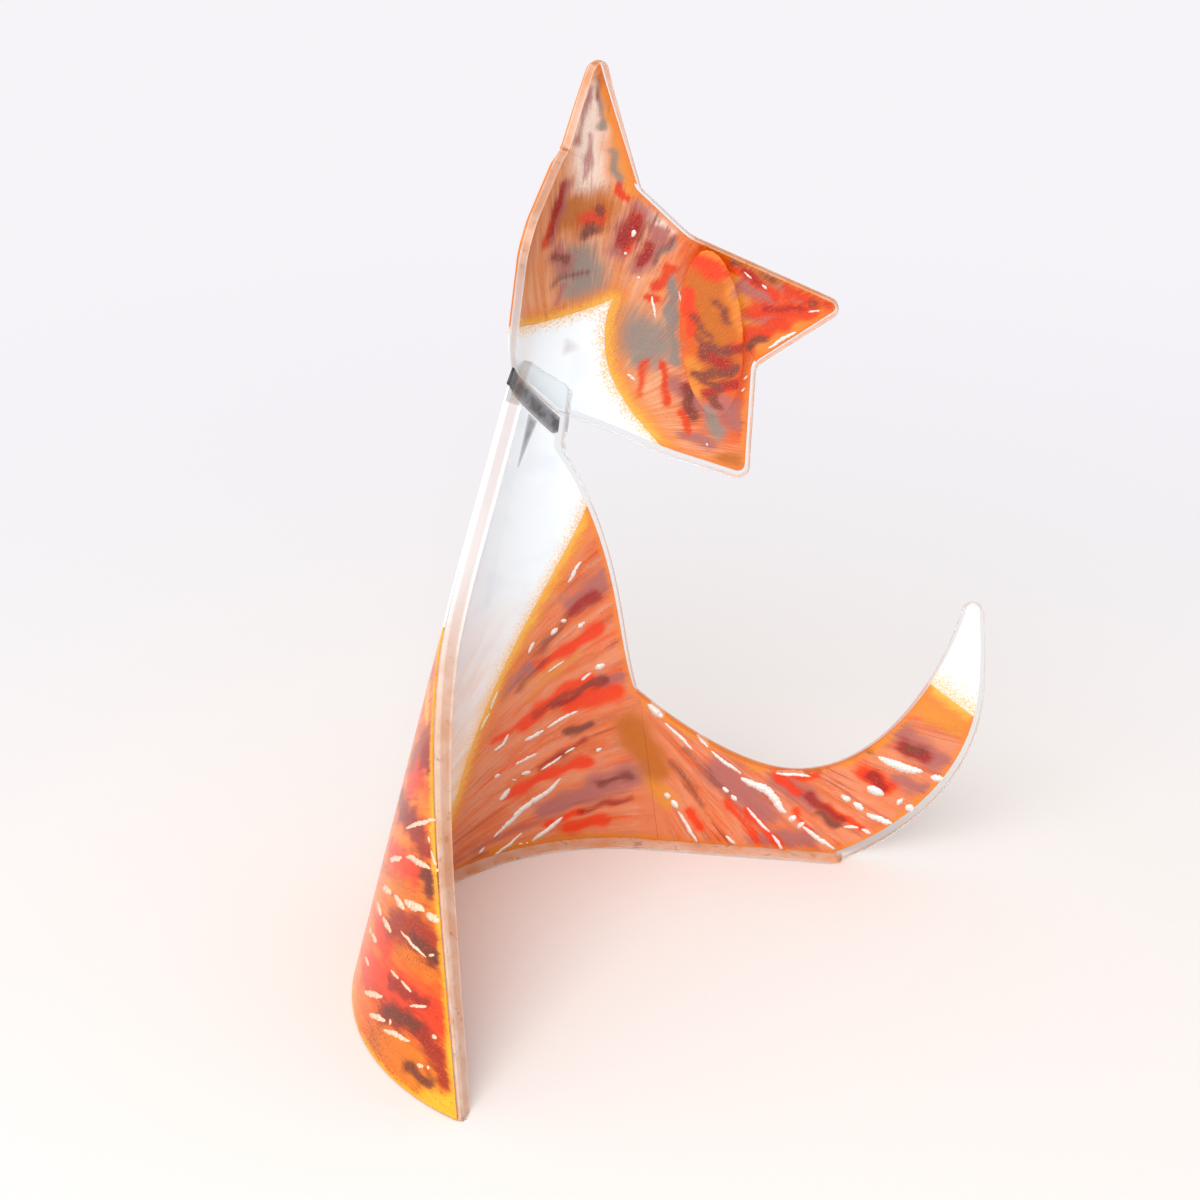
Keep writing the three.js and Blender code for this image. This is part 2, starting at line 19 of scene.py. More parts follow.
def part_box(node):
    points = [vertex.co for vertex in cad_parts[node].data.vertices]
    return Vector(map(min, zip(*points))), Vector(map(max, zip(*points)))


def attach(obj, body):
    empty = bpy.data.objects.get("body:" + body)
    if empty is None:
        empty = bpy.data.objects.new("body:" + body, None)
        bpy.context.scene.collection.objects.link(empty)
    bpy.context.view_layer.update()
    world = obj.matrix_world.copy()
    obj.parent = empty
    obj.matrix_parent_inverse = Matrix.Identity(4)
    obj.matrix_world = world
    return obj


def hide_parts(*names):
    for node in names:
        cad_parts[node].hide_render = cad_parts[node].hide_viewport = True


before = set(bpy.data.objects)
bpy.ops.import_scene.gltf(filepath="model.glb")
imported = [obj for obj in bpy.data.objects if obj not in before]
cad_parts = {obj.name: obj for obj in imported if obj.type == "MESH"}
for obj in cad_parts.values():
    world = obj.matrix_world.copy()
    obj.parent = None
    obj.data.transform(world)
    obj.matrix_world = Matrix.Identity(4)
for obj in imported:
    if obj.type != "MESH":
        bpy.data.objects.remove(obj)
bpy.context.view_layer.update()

MM = 0.001

# %% [markdown]
# ## The curl of the sheets
#
# A sheet can't stretch when it slumps, so it may only roll along straight lines, the rulings. Here
# all rulings meet in one apex above the cat, as on a cone, and their feet stand on part of an
# ellipse. The flat pattern is measured from the first ruling: x to the tail side, y up from the
# floor. The head stops curling earlier than the body and runs on flat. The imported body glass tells
# where the first ruling stands in the frame.

# %% Sizes of the curl
APEX = 300
FOOT_HALF_WIDTH = 69
FOOT_HALF_DEPTH = 73.5
BODY_CURL = 156
HEAD_CURL = 87.2
TAIL_BELLY = Vector((95.7, 60))

body_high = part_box("body_glass")[1]
SHIFT = Vector((body_high.x - TAIL_BELLY.x * MM, body_high.y, 0))
print("first ruling stands at x %.2f mm, y %.2f mm" % (SHIFT.x / MM, SHIFT.y / MM))

# %% [markdown]
# ## Camera
#
# The photograph looks from behind and above, over the concave side of the bend, with little
# perspective. A long lens from about 0.9 m gives the same convergence. The camera's turn comes from
# the line between two measured points, its own place and the point that it aims at.

# %% Camera of the photograph
LENS_MM, SENSOR_MM = 100, 36
EYE_PLACE, AIM_PLACE = Vector((103.5, -817.5, 517.5)), Vector((-8.4, -30.8, 95))

camera_data = bpy.data.cameras.new("photo_camera")
camera_data.lens = LENS_MM
camera_data.sensor_width = SENSOR_MM
camera = bpy.data.objects.new("photo_camera", camera_data)
bpy.context.scene.collection.objects.link(camera)
eye, aim = EYE_PLACE * MM + SHIFT, AIM_PLACE * MM + SHIFT
camera.location = eye
camera.rotation_euler = (aim - eye).to_track_quat("-Z", "Y").to_euler()
bpy.context.scene.camera = camera
bpy.context.scene.view_settings.view_transform = "Standard"
print("camera stands %.3f m from its aim" % (aim - eye).length)

# %% [markdown]
# ## Sums with shader sockets
#
# A material is easier to read as a formula than as a web of wires. The first class below wraps one
# socket, and each operator on it adds one Math node. The second class makes a material and has a
# single method for every other kind of node: settings first, then the values or links of its
# sockets.

# %% Shader sums
def add_node(tree, kind, settings=None, inputs=None, output=0):
    """Adds a node to a tree and gives back one of its outputs, or those that a tuple names."""
    made = tree.nodes.new(kind)
    for name, value in (settings or {}).items():
        setattr(made, name, value)
    for name, value in (inputs or {}).items():
        for each in value if isinstance(value, list) else [value]:
            if isinstance(each, bpy.types.NodeSocket):
                tree.links.new(each, made.inputs[name])
            else:
                made.inputs[name].default_value = each
    if isinstance(output, tuple):
        return [made.outputs[name] for name in output]
    return made.outputs[output] if made.outputs else None


class Flow:
    """A shader socket that can stand in a Python sum."""

    def __init__(self, finish, socket):
        self.finish = finish
        self.socket = socket

    def sum(self, operation, first, second=0.0):
        return self.finish.node("ShaderNodeMath", {"operation": operation}, {0: first, 1: second})

    def __add__(self, other): return self.sum("ADD", self, other)
    def __radd__(self, other): return self.sum("ADD", other, self)
    def __sub__(self, other): return self.sum("SUBTRACT", self, other)
    def __rsub__(self, other): return self.sum("SUBTRACT", other, self)
    def __mul__(self, other): return self.sum("MULTIPLY", self, other)
    def __rmul__(self, other): return self.sum("MULTIPLY", other, self)
    def __truediv__(self, other): return self.sum("DIVIDE", self, other)
    def __gt__(self, other): return self.sum("GREATER_THAN", self, other)


class Finish:
    """A material under construction."""

    def __init__(self, name):
        self.material = bpy.data.materials.new(name)
        self.material.use_nodes = True
        self.tree = self.material.node_tree
        self.tree.nodes.clear()

    def node(self, kind, settings=None, inputs=None, output=0):
        plain = {name: value.socket if isinstance(value, Flow) else value
                 for name, value in (inputs or {}).items()}
        found = add_node(self.tree, kind, settings, plain, output)
        if isinstance(found, list):
            return [Flow(self, socket) for socket in found]
        return Flow(self, found)

    def surface(self, shader):
        self.node("ShaderNodeOutputMaterial", None, {"Surface": shader})
        return self.material


def tint(red, green, blue):
    """A colour as seen on a screen, from 0 to 255, turned to linear light."""
    def linear(value):
        share = value / 255
        return share / 12.92 if share <= 0.04045 else ((share + 0.055) / 1.055) ** 2.4
    return (linear(red), linear(green), linear(blue), 1.0)


print("white paper in linear light:", [round(value, 3) for value in tint(245, 243, 248)])

# %% [markdown]
# ## The flat pattern
#
# Glass is cut flat, so every outline is drawn flat, in millimetres. Corners of the head are arcs
# that touch both sides, as a cutter grinds them. The long edges of the body are Bezier sweeps whose
# handles are shares of their own run and rise, so that they keep their character if an end point
# moves.

# %% Drawing tools for outlines
CURVE_STEPS = 24
ARC_STEP = math.radians(9)


def sweep(path, end, shares):
    """Adds a curve to a path, its two handles given as shares of its run and rise."""
    start = path[-1]
    size = end - start
    first, second = (start + Vector((size.x * run, size.y * rise)) for run, rise in shares)
    for step in range(1, CURVE_STEPS + 1):
        t = step / CURVE_STEPS
        path.append((1 - t) ** 3 * start + 3 * t * (1 - t) ** 2 * first
                    + 3 * t * t * (1 - t) * second + t ** 3 * end)


def round_corner(path, before, corner, after, radius):
    """Adds an arc that touches both sides of a corner."""
    back, ahead = (before - corner).normalized(), (after - corner).normalized()
    half = back.angle(ahead) / 2
    centre = corner + (back + ahead).normalized() * radius / math.sin(half)
    start = corner + back * radius / math.tan(half) - centre
    turn = math.pi - 2 * half
    turn = -turn if back.cross(ahead) > 0 else turn
    steps = max(2, round(abs(turn) / ARC_STEP))
    first = math.atan2(start.y, start.x)
    for step in range(steps + 1):
        angle = first + turn * step / steps
        path.append(centre + radius * Vector((math.cos(angle), math.sin(angle))))


def rounded(corners):
    path = []
    for index, (corner, radius) in enumerate(corners):
        after = corners[(index + 1) % len(corners)][0]
        round_corner(path, corners[index - 1][0], corner, after, radius)
    return path


def tidy(path):
    """Drops points that repeat the one before, and turns the outline anticlockwise."""
    kept = [place for index, place in enumerate(path) if (place - path[index - 1]).length > 1e-4]
    area = sum(place.cross(kept[index - 1]) for index, place in enumerate(kept))
    return kept if area < 0 else kept[::-1]


def grown(outline, distance):
    """Moves each side of an outline outwards, or inwards by a negative distance."""
    moved = []
    for index, corner in enumerate(outline):
        before = (corner - outline[index - 1]).normalized()
        after = (outline[(index + 1) % len(outline)] - corner).normalized()
        first, second = Vector((before.y, -before.x)), Vector((after.y, -after.x))
        moved.append(corner + (first + second) / (1 + first.dot(second)) * distance)
    return moved


# %% Head outline
HEAD = Vector((-22.8, 158))
HEAD_TURN = math.radians(47 - 90)
LEFT_CHIN, RIGHT_CHIN = Vector((-13.5, -12.8)), Vector((12, -15.4))
LEFT_CHEEK, RIGHT_CHEEK, RIGHT_JAW = Vector((-66, 11)), Vector((65, 5)), Vector((40, -7.8))
LEFT_ROOT, RIGHT_ROOT = Vector((-42, 41.5)), Vector((42.3, 31.3))
LEFT_CROWN, RIGHT_CROWN = Vector((-14, 45.8)), Vector((4, 45.8))
LEFT_EAR, RIGHT_EAR = Vector((-51.5, 70.2)), Vector((47.5, 62))
TIP_ROUND, CHIN_ROUND, ROOT_ROUND = 3.2, 3.5, 4
JAW_ROUND, CROWN_ROUND, CHEEK_ROUND = 60, 12, 9


def on_head(across, rise):
    """A place on the flat pattern, from the reach across the head and the rise up the head."""
    cosine, sine = math.cos(HEAD_TURN), math.sin(HEAD_TURN)
    return HEAD + Vector((across * cosine - rise * sine, across * sine + rise * cosine))


def below_chin(across, drop):
    """A place on the flat pattern, from the reach across the head and the drop below the chin."""
    chin = RIGHT_CHIN - LEFT_CHIN
    return on_head(across, LEFT_CHIN.y + (across - LEFT_CHIN.x) * chin.y / chin.x - drop)


head_outline = tidy(rounded([(on_head(*corner), radius) for corner, radius in (
    (LEFT_CHIN, CHIN_ROUND), (RIGHT_CHIN, CHIN_ROUND), (RIGHT_JAW, JAW_ROUND),
    (RIGHT_CHEEK, CHIN_ROUND), (RIGHT_ROOT, ROOT_ROUND), (RIGHT_EAR, TIP_ROUND),
    (RIGHT_CROWN, CROWN_ROUND), (LEFT_CROWN, ROOT_ROUND), (LEFT_EAR, TIP_ROUND),
    (LEFT_ROOT, ROOT_ROUND), (LEFT_CHEEK, CHEEK_ROUND))]))
print("head outline has", len(head_outline), "points")

# %% Body outline
NOTCH = Vector((-1.8, 51.8))
TAIL_VALLEY = Vector((42, 29.2))
TAIL_TIP = Vector((91.2, 83.4))
TAIL_FOOT = Vector((57, 0))
CHEST = Vector((-95, 96))
FRONT_BULGE = 4.4
WAIST, TAB_RIGHT, TAB_LEFT = Vector((18, -22)), Vector((7.3, -7.3)), Vector((-19, -9.5))
TAB_ROUND = 2.8
SEAM_GAP = 0.3
COLLAR_WIDTH = 4.6
COLLAR_DROP = SEAM_GAP + COLLAR_WIDTH
FLOOR_STEPS, TIP_STEPS = 90, 12


def floor_line(trim):
    """The curled floor line laid flat, from the toe back to the first ruling."""
    apex = Vector((0, 0, APEX))
    line, before, swing = [], None, 0.0
    for step in range(FLOOR_STEPS + 1):
        angle = math.radians(BODY_CURL) * step / FLOOR_STEPS
        ruling = Vector((-FOOT_HALF_WIDTH * math.sin(angle),
                         FOOT_HALF_DEPTH * (math.cos(angle) - 1), 0)) - apex
        swing += ruling.angle(before) if before else 0.0
        before, reach = ruling, ruling.length + trim
        line.append(Vector((-reach * math.sin(swing), APEX - reach * math.cos(swing))))
    return line[::-1]


def body_outline(trim):
    """The body outline, anticlockwise from the tail's foot, with spare glass below the floor."""
    path = [TAIL_FOOT - Vector((trim, trim)), TAIL_FOOT]
    sweep(path, TAIL_BELLY, [(0.48, 0.16), (1, 0.5)])
    sweep(path, TAIL_TIP + Vector((TIP_ROUND, 0)), [(0, 0.4), (0.6, 0.8)])
    for step in range(1, TIP_STEPS + 1):
        angle = math.pi * step / TIP_STEPS
        path.append(TAIL_TIP + TIP_ROUND * Vector((math.cos(angle), math.sin(angle))))
    sweep(path, TAIL_VALLEY, [(0.12, 0.44), (0.48, 1)])
    sweep(path, NOTCH, [(0.33, 0), (0.77, 0.6)])
    waist, right, left = on_head(*WAIST), on_head(*TAB_RIGHT), on_head(*TAB_LEFT)
    neck = below_chin(TAB_LEFT.x, COLLAR_DROP)
    sweep(path, waist, [(0.24, 0.24), (0.15, 0.58)])
    round_corner(path, waist, right, left, TAB_ROUND)
    round_corner(path, right, left, neck, TAB_ROUND)
    path.append(neck)
    sweep(path, CHEST, [(0.2, 0.33), (0.44, 0.8)])
    toe = floor_line(0)[0]
    run = (toe - CHEST).normalized()
    bulge = (CHEST + toe) / 2 + Vector((run.y, -run.x)) * FRONT_BULGE
    start = path[-1]
    for step in range(1, CURVE_STEPS + 1):
        t = step / CURVE_STEPS
        path.append((1 - t) ** 2 * start + 2 * t * (1 - t) * bulge + t * t * toe)
    return tidy(path + floor_line(trim))


print("body outline has", len(body_outline(0)), "points; the toe lies at", floor_line(0)[0])

# %% [markdown]
# ## Cutting the pattern into fields
#
# The colours meet along seams, like the panes of a leaded window. Blender's constrained Delaunay
# routine overlays any number of outlines and reports, for each face, which outlines hold it. A
# field is then simply a choice of faces: inside the sheet and its own region, outside its
# neighbours.

# %% Overlay of outlines
WITH_HOLES, SAME_POINT = 4, 1e-5


def overlay(inside, outside):
    """Faces that lie in all of some outlines and in none of others, as points and index lists."""
    points, loops = [], []
    for outline in inside + outside:
        loops.append(list(range(len(points), len(points) + len(outline))))
        points += outline
    places, _, faces, _, _, owners = delaunay_2d_cdt(points, [], loops, WITH_HOLES, SAME_POINT)
    wanted = set(range(len(inside)))
    return places, [face for face, own in zip(faces, owners) if set(own) == wanted]


# %% [markdown]
# ## From flat face to flat sheet
#
# A bend is only as smooth as the mesh under it. Each flat face is first cut along closely spaced
# rulings and level lines. Its border is then swept outwards along a quarter circle, down the edge
# and back in, which gives the soft, fire-polished rim that a kiln leaves on cut glass.

# %% Cutting a flat face
SHARPEST = 0.5
NEAR = 1e-4


def border_normals(flat):
    """The border's vertices with their outward mitres, and the border's edges as turned pairs."""
    pairs = []
    for edge in flat.edges:
        if len(edge.link_faces) == 1:
            loop = edge.link_loops[0]
            pairs.append((loop.vert, loop.link_loop_next.vert))
    sides = {}
    for first, second in pairs:
        run = (second.co - first.co).normalized()
        for vert in (first, second):
            sides.setdefault(vert, []).append(Vector((run.y, -run.x, 0)))
    mitres = {vert: (one + two) / max(1 + one.dot(two), SHARPEST)
              for vert, (one, two) in sides.items()}
    return mitres, pairs


def cut_face(places, faces, inset, ruling_step, level_step):
    """A flat face, drawn in by a distance and cut along rulings and level lines."""
    flat = bmesh.new()
    corners = {}
    for face in faces:
        for index in face:
            if index not in corners:
                corners[index] = flat.verts.new((*places[index], 0))
        flat.faces.new([corners[index] for index in face])
    bmesh.ops.remove_doubles(flat, verts=flat.verts[:], dist=NEAR)
    for vert, mitre in border_normals(flat)[0].items():
        vert.co -= mitre * inset
    swings = [math.atan2(-vert.co.x, APEX - vert.co.y) / ruling_step for vert in flat.verts]
    levels = [vert.co.y / level_step for vert in flat.verts]
    turns = [ruling_step * step for step in range(math.ceil(min(swings)), math.ceil(max(swings)))]
    cuts = [((0, APEX, 0), (math.cos(turn), -math.sin(turn), 0)) for turn in turns]
    cuts += [((0, level_step * step, 0), (0, 1, 0))
             for step in range(math.ceil(min(levels)), math.ceil(max(levels)))]
    for place, normal in cuts:
        bmesh.ops.bisect_plane(flat, geom=flat.verts[:] + flat.edges[:] + flat.faces[:],
                               dist=NEAR, plane_co=place, plane_no=normal)
    flat.verts.index_update()
    return flat


# %% Thickness and rim
RIM_STEPS = 5


def rimmed_mesh(name, flat, low, high, edge_round):
    """Front, rim and back of a sheet from its cut flat face, in metres."""
    mitres, pairs = border_normals(flat)
    count = len(flat.verts)
    face = np.array([vert.co[:2] for vert in flat.verts])
    places = [np.column_stack([face, np.full(count, height)]) for height in (high, low)]
    polygons = [[vert.index for vert in poly.verts] for poly in flat.faces]
    polygons += [[vert.index + count for vert in reversed(poly.verts)] for poly in flat.faces]
    border = list(mitres)
    order = {vert: index for index, vert in enumerate(border)}
    base = np.array([vert.co[:2] for vert in border])
    out = np.array([mitres[vert][:2] for vert in border])
    quarter = [math.pi / 2 * step / RIM_STEPS for step in range(1, RIM_STEPS + 1)]
    profile = [(math.sin(a) * edge_round, high - edge_round * (1 - math.cos(a))) for a in quarter]
    profile += [(reach, low + high - height) for reach, height in reversed(profile)]
    rings = [[vert.index for vert in border]]
    for reach, height in profile:
        first = sum(len(block) for block in places)
        places.append(np.column_stack([base + out * reach, np.full(len(border), height)]))
        rings.append(list(range(first, first + len(border))))
    rings.append([vert.index + count for vert in border])
    for upper, lower in zip(rings, rings[1:]):
        for one, two in pairs:
            a, b = order[one], order[two]
            polygons.append([upper[a], lower[a], lower[b], upper[b]])
    mesh = bpy.data.meshes.new(name)
    mesh.from_pydata(np.vstack(places) * MM, [], polygons)
    return mesh


# %% [markdown]
# ## The curl as Geometry Nodes
#
# Seen from the apex, each ruling is a direction, and all directions together draw a curve on a unit
# sphere. The length along that curve is the angle between rulings on the flat sheet. So the whole
# curl is one Sample Curve node: a flat point turns to an angle and a distance from the apex, the
# angle picks a ruling, and the distance runs down it. Before the first ruling and after the last
# one the curve runs on along a great circle, which keeps those parts of the sheet flat.

# %% Geometry trees
class Tree:
    """A geometry tree under construction, with named inputs."""

    def __init__(self, name, inputs):
        self.tree = bpy.data.node_groups.new(name, "GeometryNodeTree")
        sockets = self.tree.interface
        sockets.new_socket("Geometry", in_out="INPUT", socket_type="NodeSocketGeometry")
        for label, kind in inputs.items():
            sockets.new_socket(label, in_out="INPUT", socket_type="NodeSocket" + kind)
        sockets.new_socket("Geometry", in_out="OUTPUT", socket_type="NodeSocketGeometry")
        self.given = self.tree.nodes.new("NodeGroupInput").outputs

    def node(self, kind, settings=None, inputs=None, output=0):
        return add_node(self.tree, kind, settings, inputs, output)

    def number(self, operation, first, second=0.0):
        return self.node("ShaderNodeMath", {"operation": operation}, {0: first, 1: second})

    def vector(self, operation, inputs, output=0):
        return self.node("ShaderNodeVectorMath", {"operation": operation}, inputs, output)

    def ended(self, shape):
        """Makes a shape real, gives it the finish that was handed in, and closes the tree."""
        real = self.node("GeometryNodeRealizeInstances", None, {0: shape})
        finished = self.node("GeometryNodeSetMaterial", None,
                             {"Geometry": real, "Material": self.given["Finish"]})
        self.node("NodeGroupOutput", None, {"Geometry": finished})
        return self.tree


def run_tree(piece, tree, values):
    """Puts a piece through a tree and keeps the result as its plain mesh."""
    modifier = piece.modifiers.new("tree", "NODES")
    modifier.node_group = tree
    for socket in tree.interface.items_tree:
        if socket.in_out == "INPUT" and socket.name in values:
            modifier[socket.identifier] = values[socket.name]
    bpy.context.view_layer.update()
    evaluated = piece.evaluated_get(bpy.context.evaluated_depsgraph_get())
    result = bpy.data.meshes.new_from_object(evaluated)
    result.name = piece.name
    piece.modifiers.remove(modifier)
    piece.data = result


# %% Curl tree
RULING_POINTS = 1081
QUARTER = math.pi / 2


def curl_tree():
    build = Tree("curl_glass", {
        "Apex Height": "Float", "Foot Half Width": "Float", "Foot Half Depth": "Float",
        "Curl Angle": "Float", "Shift": "Vector", "Finish": "Material"})
    given, node, number, vector = build.given, build.node, build.number, build.vector

    def joined(x, y, z):
        return node("ShaderNodeCombineXYZ", None, {0: x, 1: y, 2: z})

    step = number("DIVIDE", node("GeometryNodeInputIndex"), float(RULING_POINTS - 1))
    whole = number("ADD", given["Curl Angle"], 2 * QUARTER)
    turn = number("SUBTRACT", number("MULTIPLY", step, whole), QUARTER)
    held = number("MINIMUM", number("MAXIMUM", turn, 0.0), given["Curl Angle"])
    beyond = number("SUBTRACT", turn, held)
    sine, cosine = number("SINE", held), number("COSINE", held)
    width, depth = given["Foot Half Width"], given["Foot Half Depth"]
    apex = joined(0.0, 0.0, given["Apex Height"])
    foot = joined(number("MULTIPLY", number("MULTIPLY", sine, width), -1.0),
                  number("MULTIPLY", number("SUBTRACT", cosine, 1.0), depth), 0.0)
    pace = joined(number("MULTIPLY", number("MULTIPLY", cosine, width), -1.0),
                  number("MULTIPLY", number("MULTIPLY", sine, depth), -1.0), 0.0)
    down = vector("NORMALIZE", {0: vector("SUBTRACT", {0: foot, 1: apex})})
    lift = vector("SCALE", {0: down, "Scale": vector("DOT_PRODUCT", {0: pace, 1: down}, "Value")})
    across = vector("NORMALIZE", {0: vector("SUBTRACT", {0: pace, 1: lift})})
    ruling = vector("ADD", {0: vector("SCALE", {0: down, "Scale": number("COSINE", beyond)}),
                            1: vector("SCALE", {0: across, "Scale": number("SINE", beyond)})})
    line = node("GeometryNodeMeshLine", None, {"Count": RULING_POINTS})
    drawn = node("GeometryNodeSetPosition", None, {"Geometry": line, "Position": ruling})
    rulings = node("GeometryNodeMeshToCurve", None, {"Mesh": drawn})

    flat = node("GeometryNodeInputPosition")
    x, y, height = node("ShaderNodeSeparateXYZ", None, {0: flat}, ("X", "Y", "Z"))
    drop = number("SUBTRACT", given["Apex Height"], y)
    swing = number("ARCTAN2", number("MULTIPLY", x, -1.0), drop)
    reach = vector("LENGTH", {0: joined(x, drop, 0.0)}, "Value")
    towards, tangent = node("GeometryNodeSampleCurve", {"mode": "LENGTH"}, {
        "Curves": rulings, "Length": number("ADD", swing, QUARTER)}, ("Position", "Tangent"))
    out = vector("NORMALIZE", {0: vector("CROSS_PRODUCT", {0: towards, 1: tangent})})
    along = vector("SCALE", {0: vector("NORMALIZE", {0: towards}), "Scale": reach})
    raised = vector("SCALE", {0: out, "Scale": height})
    bent = vector("ADD", {0: vector("ADD", {0: apex, 1: given["Shift"]}),
                          1: vector("ADD", {0: along, 1: raised})})

    kept = node("GeometryNodeStoreNamedAttribute", {"data_type": "FLOAT_VECTOR", "domain": "POINT"},
                {"Geometry": given["Geometry"], "Name": "flat", "Value": flat})
    moved = node("GeometryNodeSetPosition", None, {"Geometry": kept, "Position": bent})
    turned = node("GeometryNodeFlipFaces", None, {"Mesh": moved})
    return build.ended(node("GeometryNodeSetShadeSmooth", None, {0: turned}))


CURL = curl_tree()


def curl(piece, finish, turn):
    """Bends a flat piece and gives it its finish."""
    run_tree(piece, CURL, {
        "Apex Height": APEX * MM, "Foot Half Width": FOOT_HALF_WIDTH * MM,
        "Foot Half Depth": FOOT_HALF_DEPTH * MM, "Curl Angle": math.radians(turn),
        "Shift": SHIFT, "Finish": finish})
    print(piece.name, "has", len(piece.data.polygons), "faces")
    return piece


print("curl tree has", len(CURL.nodes), "nodes")

# %% [markdown]
# ## Seams of the colours
#
# The colour regions reach well past the sheet's edge, because the overlay trims them to the sheet
# less its clear rim. Neighbours keep a hair's breadth apart, where the melted powders of the real
# cat just meet. White covers the chest, and orange covers both haunches and most of the tail.

# %% Regions of the body
SEAM = 0.05
FAR = 400
BELOW = -6
FLANK, HAUNCH, BIB_POINT = Vector((-14, 116)), Vector((-58, 28)), Vector((-66, 12))
SPIKE, TAIL_SEAM_X = Vector((-84, 106)), 5
TAIL_WHITE_LENGTH, TAIL_WHITE_ANGLE = 36, 37

flank_seam = [FLANK]
sweep(flank_seam, HAUNCH, [(0.14, 0.27), (0.77, 0.61)])
flank_seam.append(BIB_POINT)
right_flank = tidy(flank_seam + [Vector((BIB_POINT.x, BELOW)), Vector((TAIL_SEAM_X, BELOW)), NOTCH,
                                 Vector((TAIL_VALLEY.x, FLANK.y))])
left_edge = BIB_POINT.x - SEAM
wing_seam = [SPIKE, Vector((left_edge, BIB_POINT.y))]
left_flank = tidy(wing_seam + [Vector((left_edge, BELOW)), Vector((-FAR, BELOW)),
                               Vector((-FAR, SPIKE.y))])
tail_side = tidy([NOTCH + Vector((SEAM, 0)), Vector((TAIL_SEAM_X + SEAM, BELOW)),
                  Vector((FAR, BELOW)), Vector((FAR, FLANK.y)), Vector((NOTCH.x + SEAM, FLANK.y))])
fold = [NOTCH, Vector((TAIL_SEAM_X, BELOW))]
tip_level = TAIL_TIP.y + TIP_ROUND - TAIL_WHITE_LENGTH
tip_slope = math.tan(math.radians(TAIL_WHITE_ANGLE))
tip_seam = [Vector((x, tip_level + tip_slope * (TAIL_TIP.x - x))) for x in (TAIL_VALLEY.x, FAR)]
tail_white = tidy(tip_seam + [Vector((FAR, FAR)), Vector((TAIL_VALLEY.x, FAR))])
print("white tail tip starts at level %.1f mm" % tip_level)

# %% Regions of collar and tag
COLLAR_REACH = 15.5
COLLAR_ROUND = COLLAR_WIDTH / 2.2
TAG_REACH, TAG_WIDTH, TAG_LENGTH, TAG_LEAN = 3.6, 5.5, 16, 7
TAG_ROUND = 0.5
tag_top = COLLAR_DROP + SEAM_GAP

above_bib = tidy([below_chin(-FAR, COLLAR_DROP), below_chin(FAR, COLLAR_DROP),
                  on_head(FAR, FAR), on_head(-FAR, FAR)])
collar_region = tidy(rounded([
    (below_chin(-FAR, SEAM_GAP), COLLAR_ROUND), (below_chin(-FAR, COLLAR_DROP), COLLAR_ROUND),
    (below_chin(COLLAR_REACH, COLLAR_DROP), COLLAR_ROUND),
    (below_chin(COLLAR_REACH, SEAM_GAP), COLLAR_ROUND)]))
tag_region = tidy(rounded([
    (below_chin(TAG_REACH - TAG_WIDTH / 2, tag_top), TAG_ROUND),
    (below_chin(TAG_REACH + TAG_LEAN, tag_top + TAG_LENGTH), TAG_ROUND),
    (below_chin(TAG_REACH + TAG_WIDTH / 2, tag_top), TAG_ROUND)]))
print("collar lies %.1f to %.1f mm below the chin" % (SEAM_GAP, COLLAR_DROP))

# %% Regions of the face
NOSE_REACH = 2.5
BLAZE_RISE, MUZZLE, JOWL = 18, Vector((15, 1)), Vector((40, -5.5))
BLAZE_SHARES, JOWL_SHARES = [(0.17, 0.41), (0.6, 0.79)], [(0.2, 0.38), (0.4, 0.77)]
OVAL_STEPS = 32
EAR_OVERRUN = 0.3
SPOT_SLANT = 58
EYE_REACH, LEFT_EYE_RISE, RIGHT_EYE_RISE, EYE_SIZE = 11.3, 18.2, 13.5, (14.6, 7.5)
WHISKER_REACH, WHISKER_RISE, WHISKER_SIZE = 13, 7.2, (6, 2.6)
PATCH_PLACE, PATCH_SIZE, PATCH_SLANT = (27, 30), (48, 17), 133
NOSE_HALF, NOSE_RISE, NOSE_ROUND = 4, 3, 1.2


def turned_round(shares):
    return [(1 - run, 1 - rise) for run, rise in reversed(shares)]


def ear(crown, root, side):
    """The head beyond the line from the crown to an ear's root."""
    base = on_head(*root) - on_head(*crown)
    out = Vector((-base.y, base.x)).normalized() * side * FAR
    inner, outer = on_head(*crown) - base * EAR_OVERRUN, on_head(*root) + base * EAR_OVERRUN
    return tidy([inner, outer, outer + out, inner + out])


def oval(across, rise, length, width, slant):
    """An oval spot, its long axis slanted from the upright towards the right."""
    turn = math.radians(90 - slant)
    places = []
    for step in range(OVAL_STEPS):
        angle = math.tau * step / OVAL_STEPS
        x, y = math.cos(angle) * length / 2, math.sin(angle) * width / 2
        places.append(on_head(across + x * math.cos(turn) - y * math.sin(turn),
                              rise + x * math.sin(turn) + y * math.cos(turn)))
    return tidy(places)


muzzle_left = [Vector((NOSE_REACH, BLAZE_RISE))]
sweep(muzzle_left, Vector((NOSE_REACH - MUZZLE.x, MUZZLE.y)), BLAZE_SHARES)
sweep(muzzle_left, Vector((NOSE_REACH - JOWL.x, JOWL.y)), JOWL_SHARES)
muzzle_right = [Vector((NOSE_REACH + JOWL.x, JOWL.y))]
sweep(muzzle_right, Vector((NOSE_REACH + MUZZLE.x, MUZZLE.y)), turned_round(JOWL_SHARES))
sweep(muzzle_right, Vector((NOSE_REACH, BLAZE_RISE)), turned_round(BLAZE_SHARES))
muzzle_seam = [on_head(*place) for place in muzzle_right + muzzle_left[1:]]
muzzle = tidy(muzzle_seam + [on_head(NOSE_REACH + side * JOWL.x, -FAR) for side in (-1, 1)])
left_ear, right_ear = ear(LEFT_CROWN, LEFT_ROOT, -1), ear(RIGHT_CROWN, RIGHT_ROOT, 1)
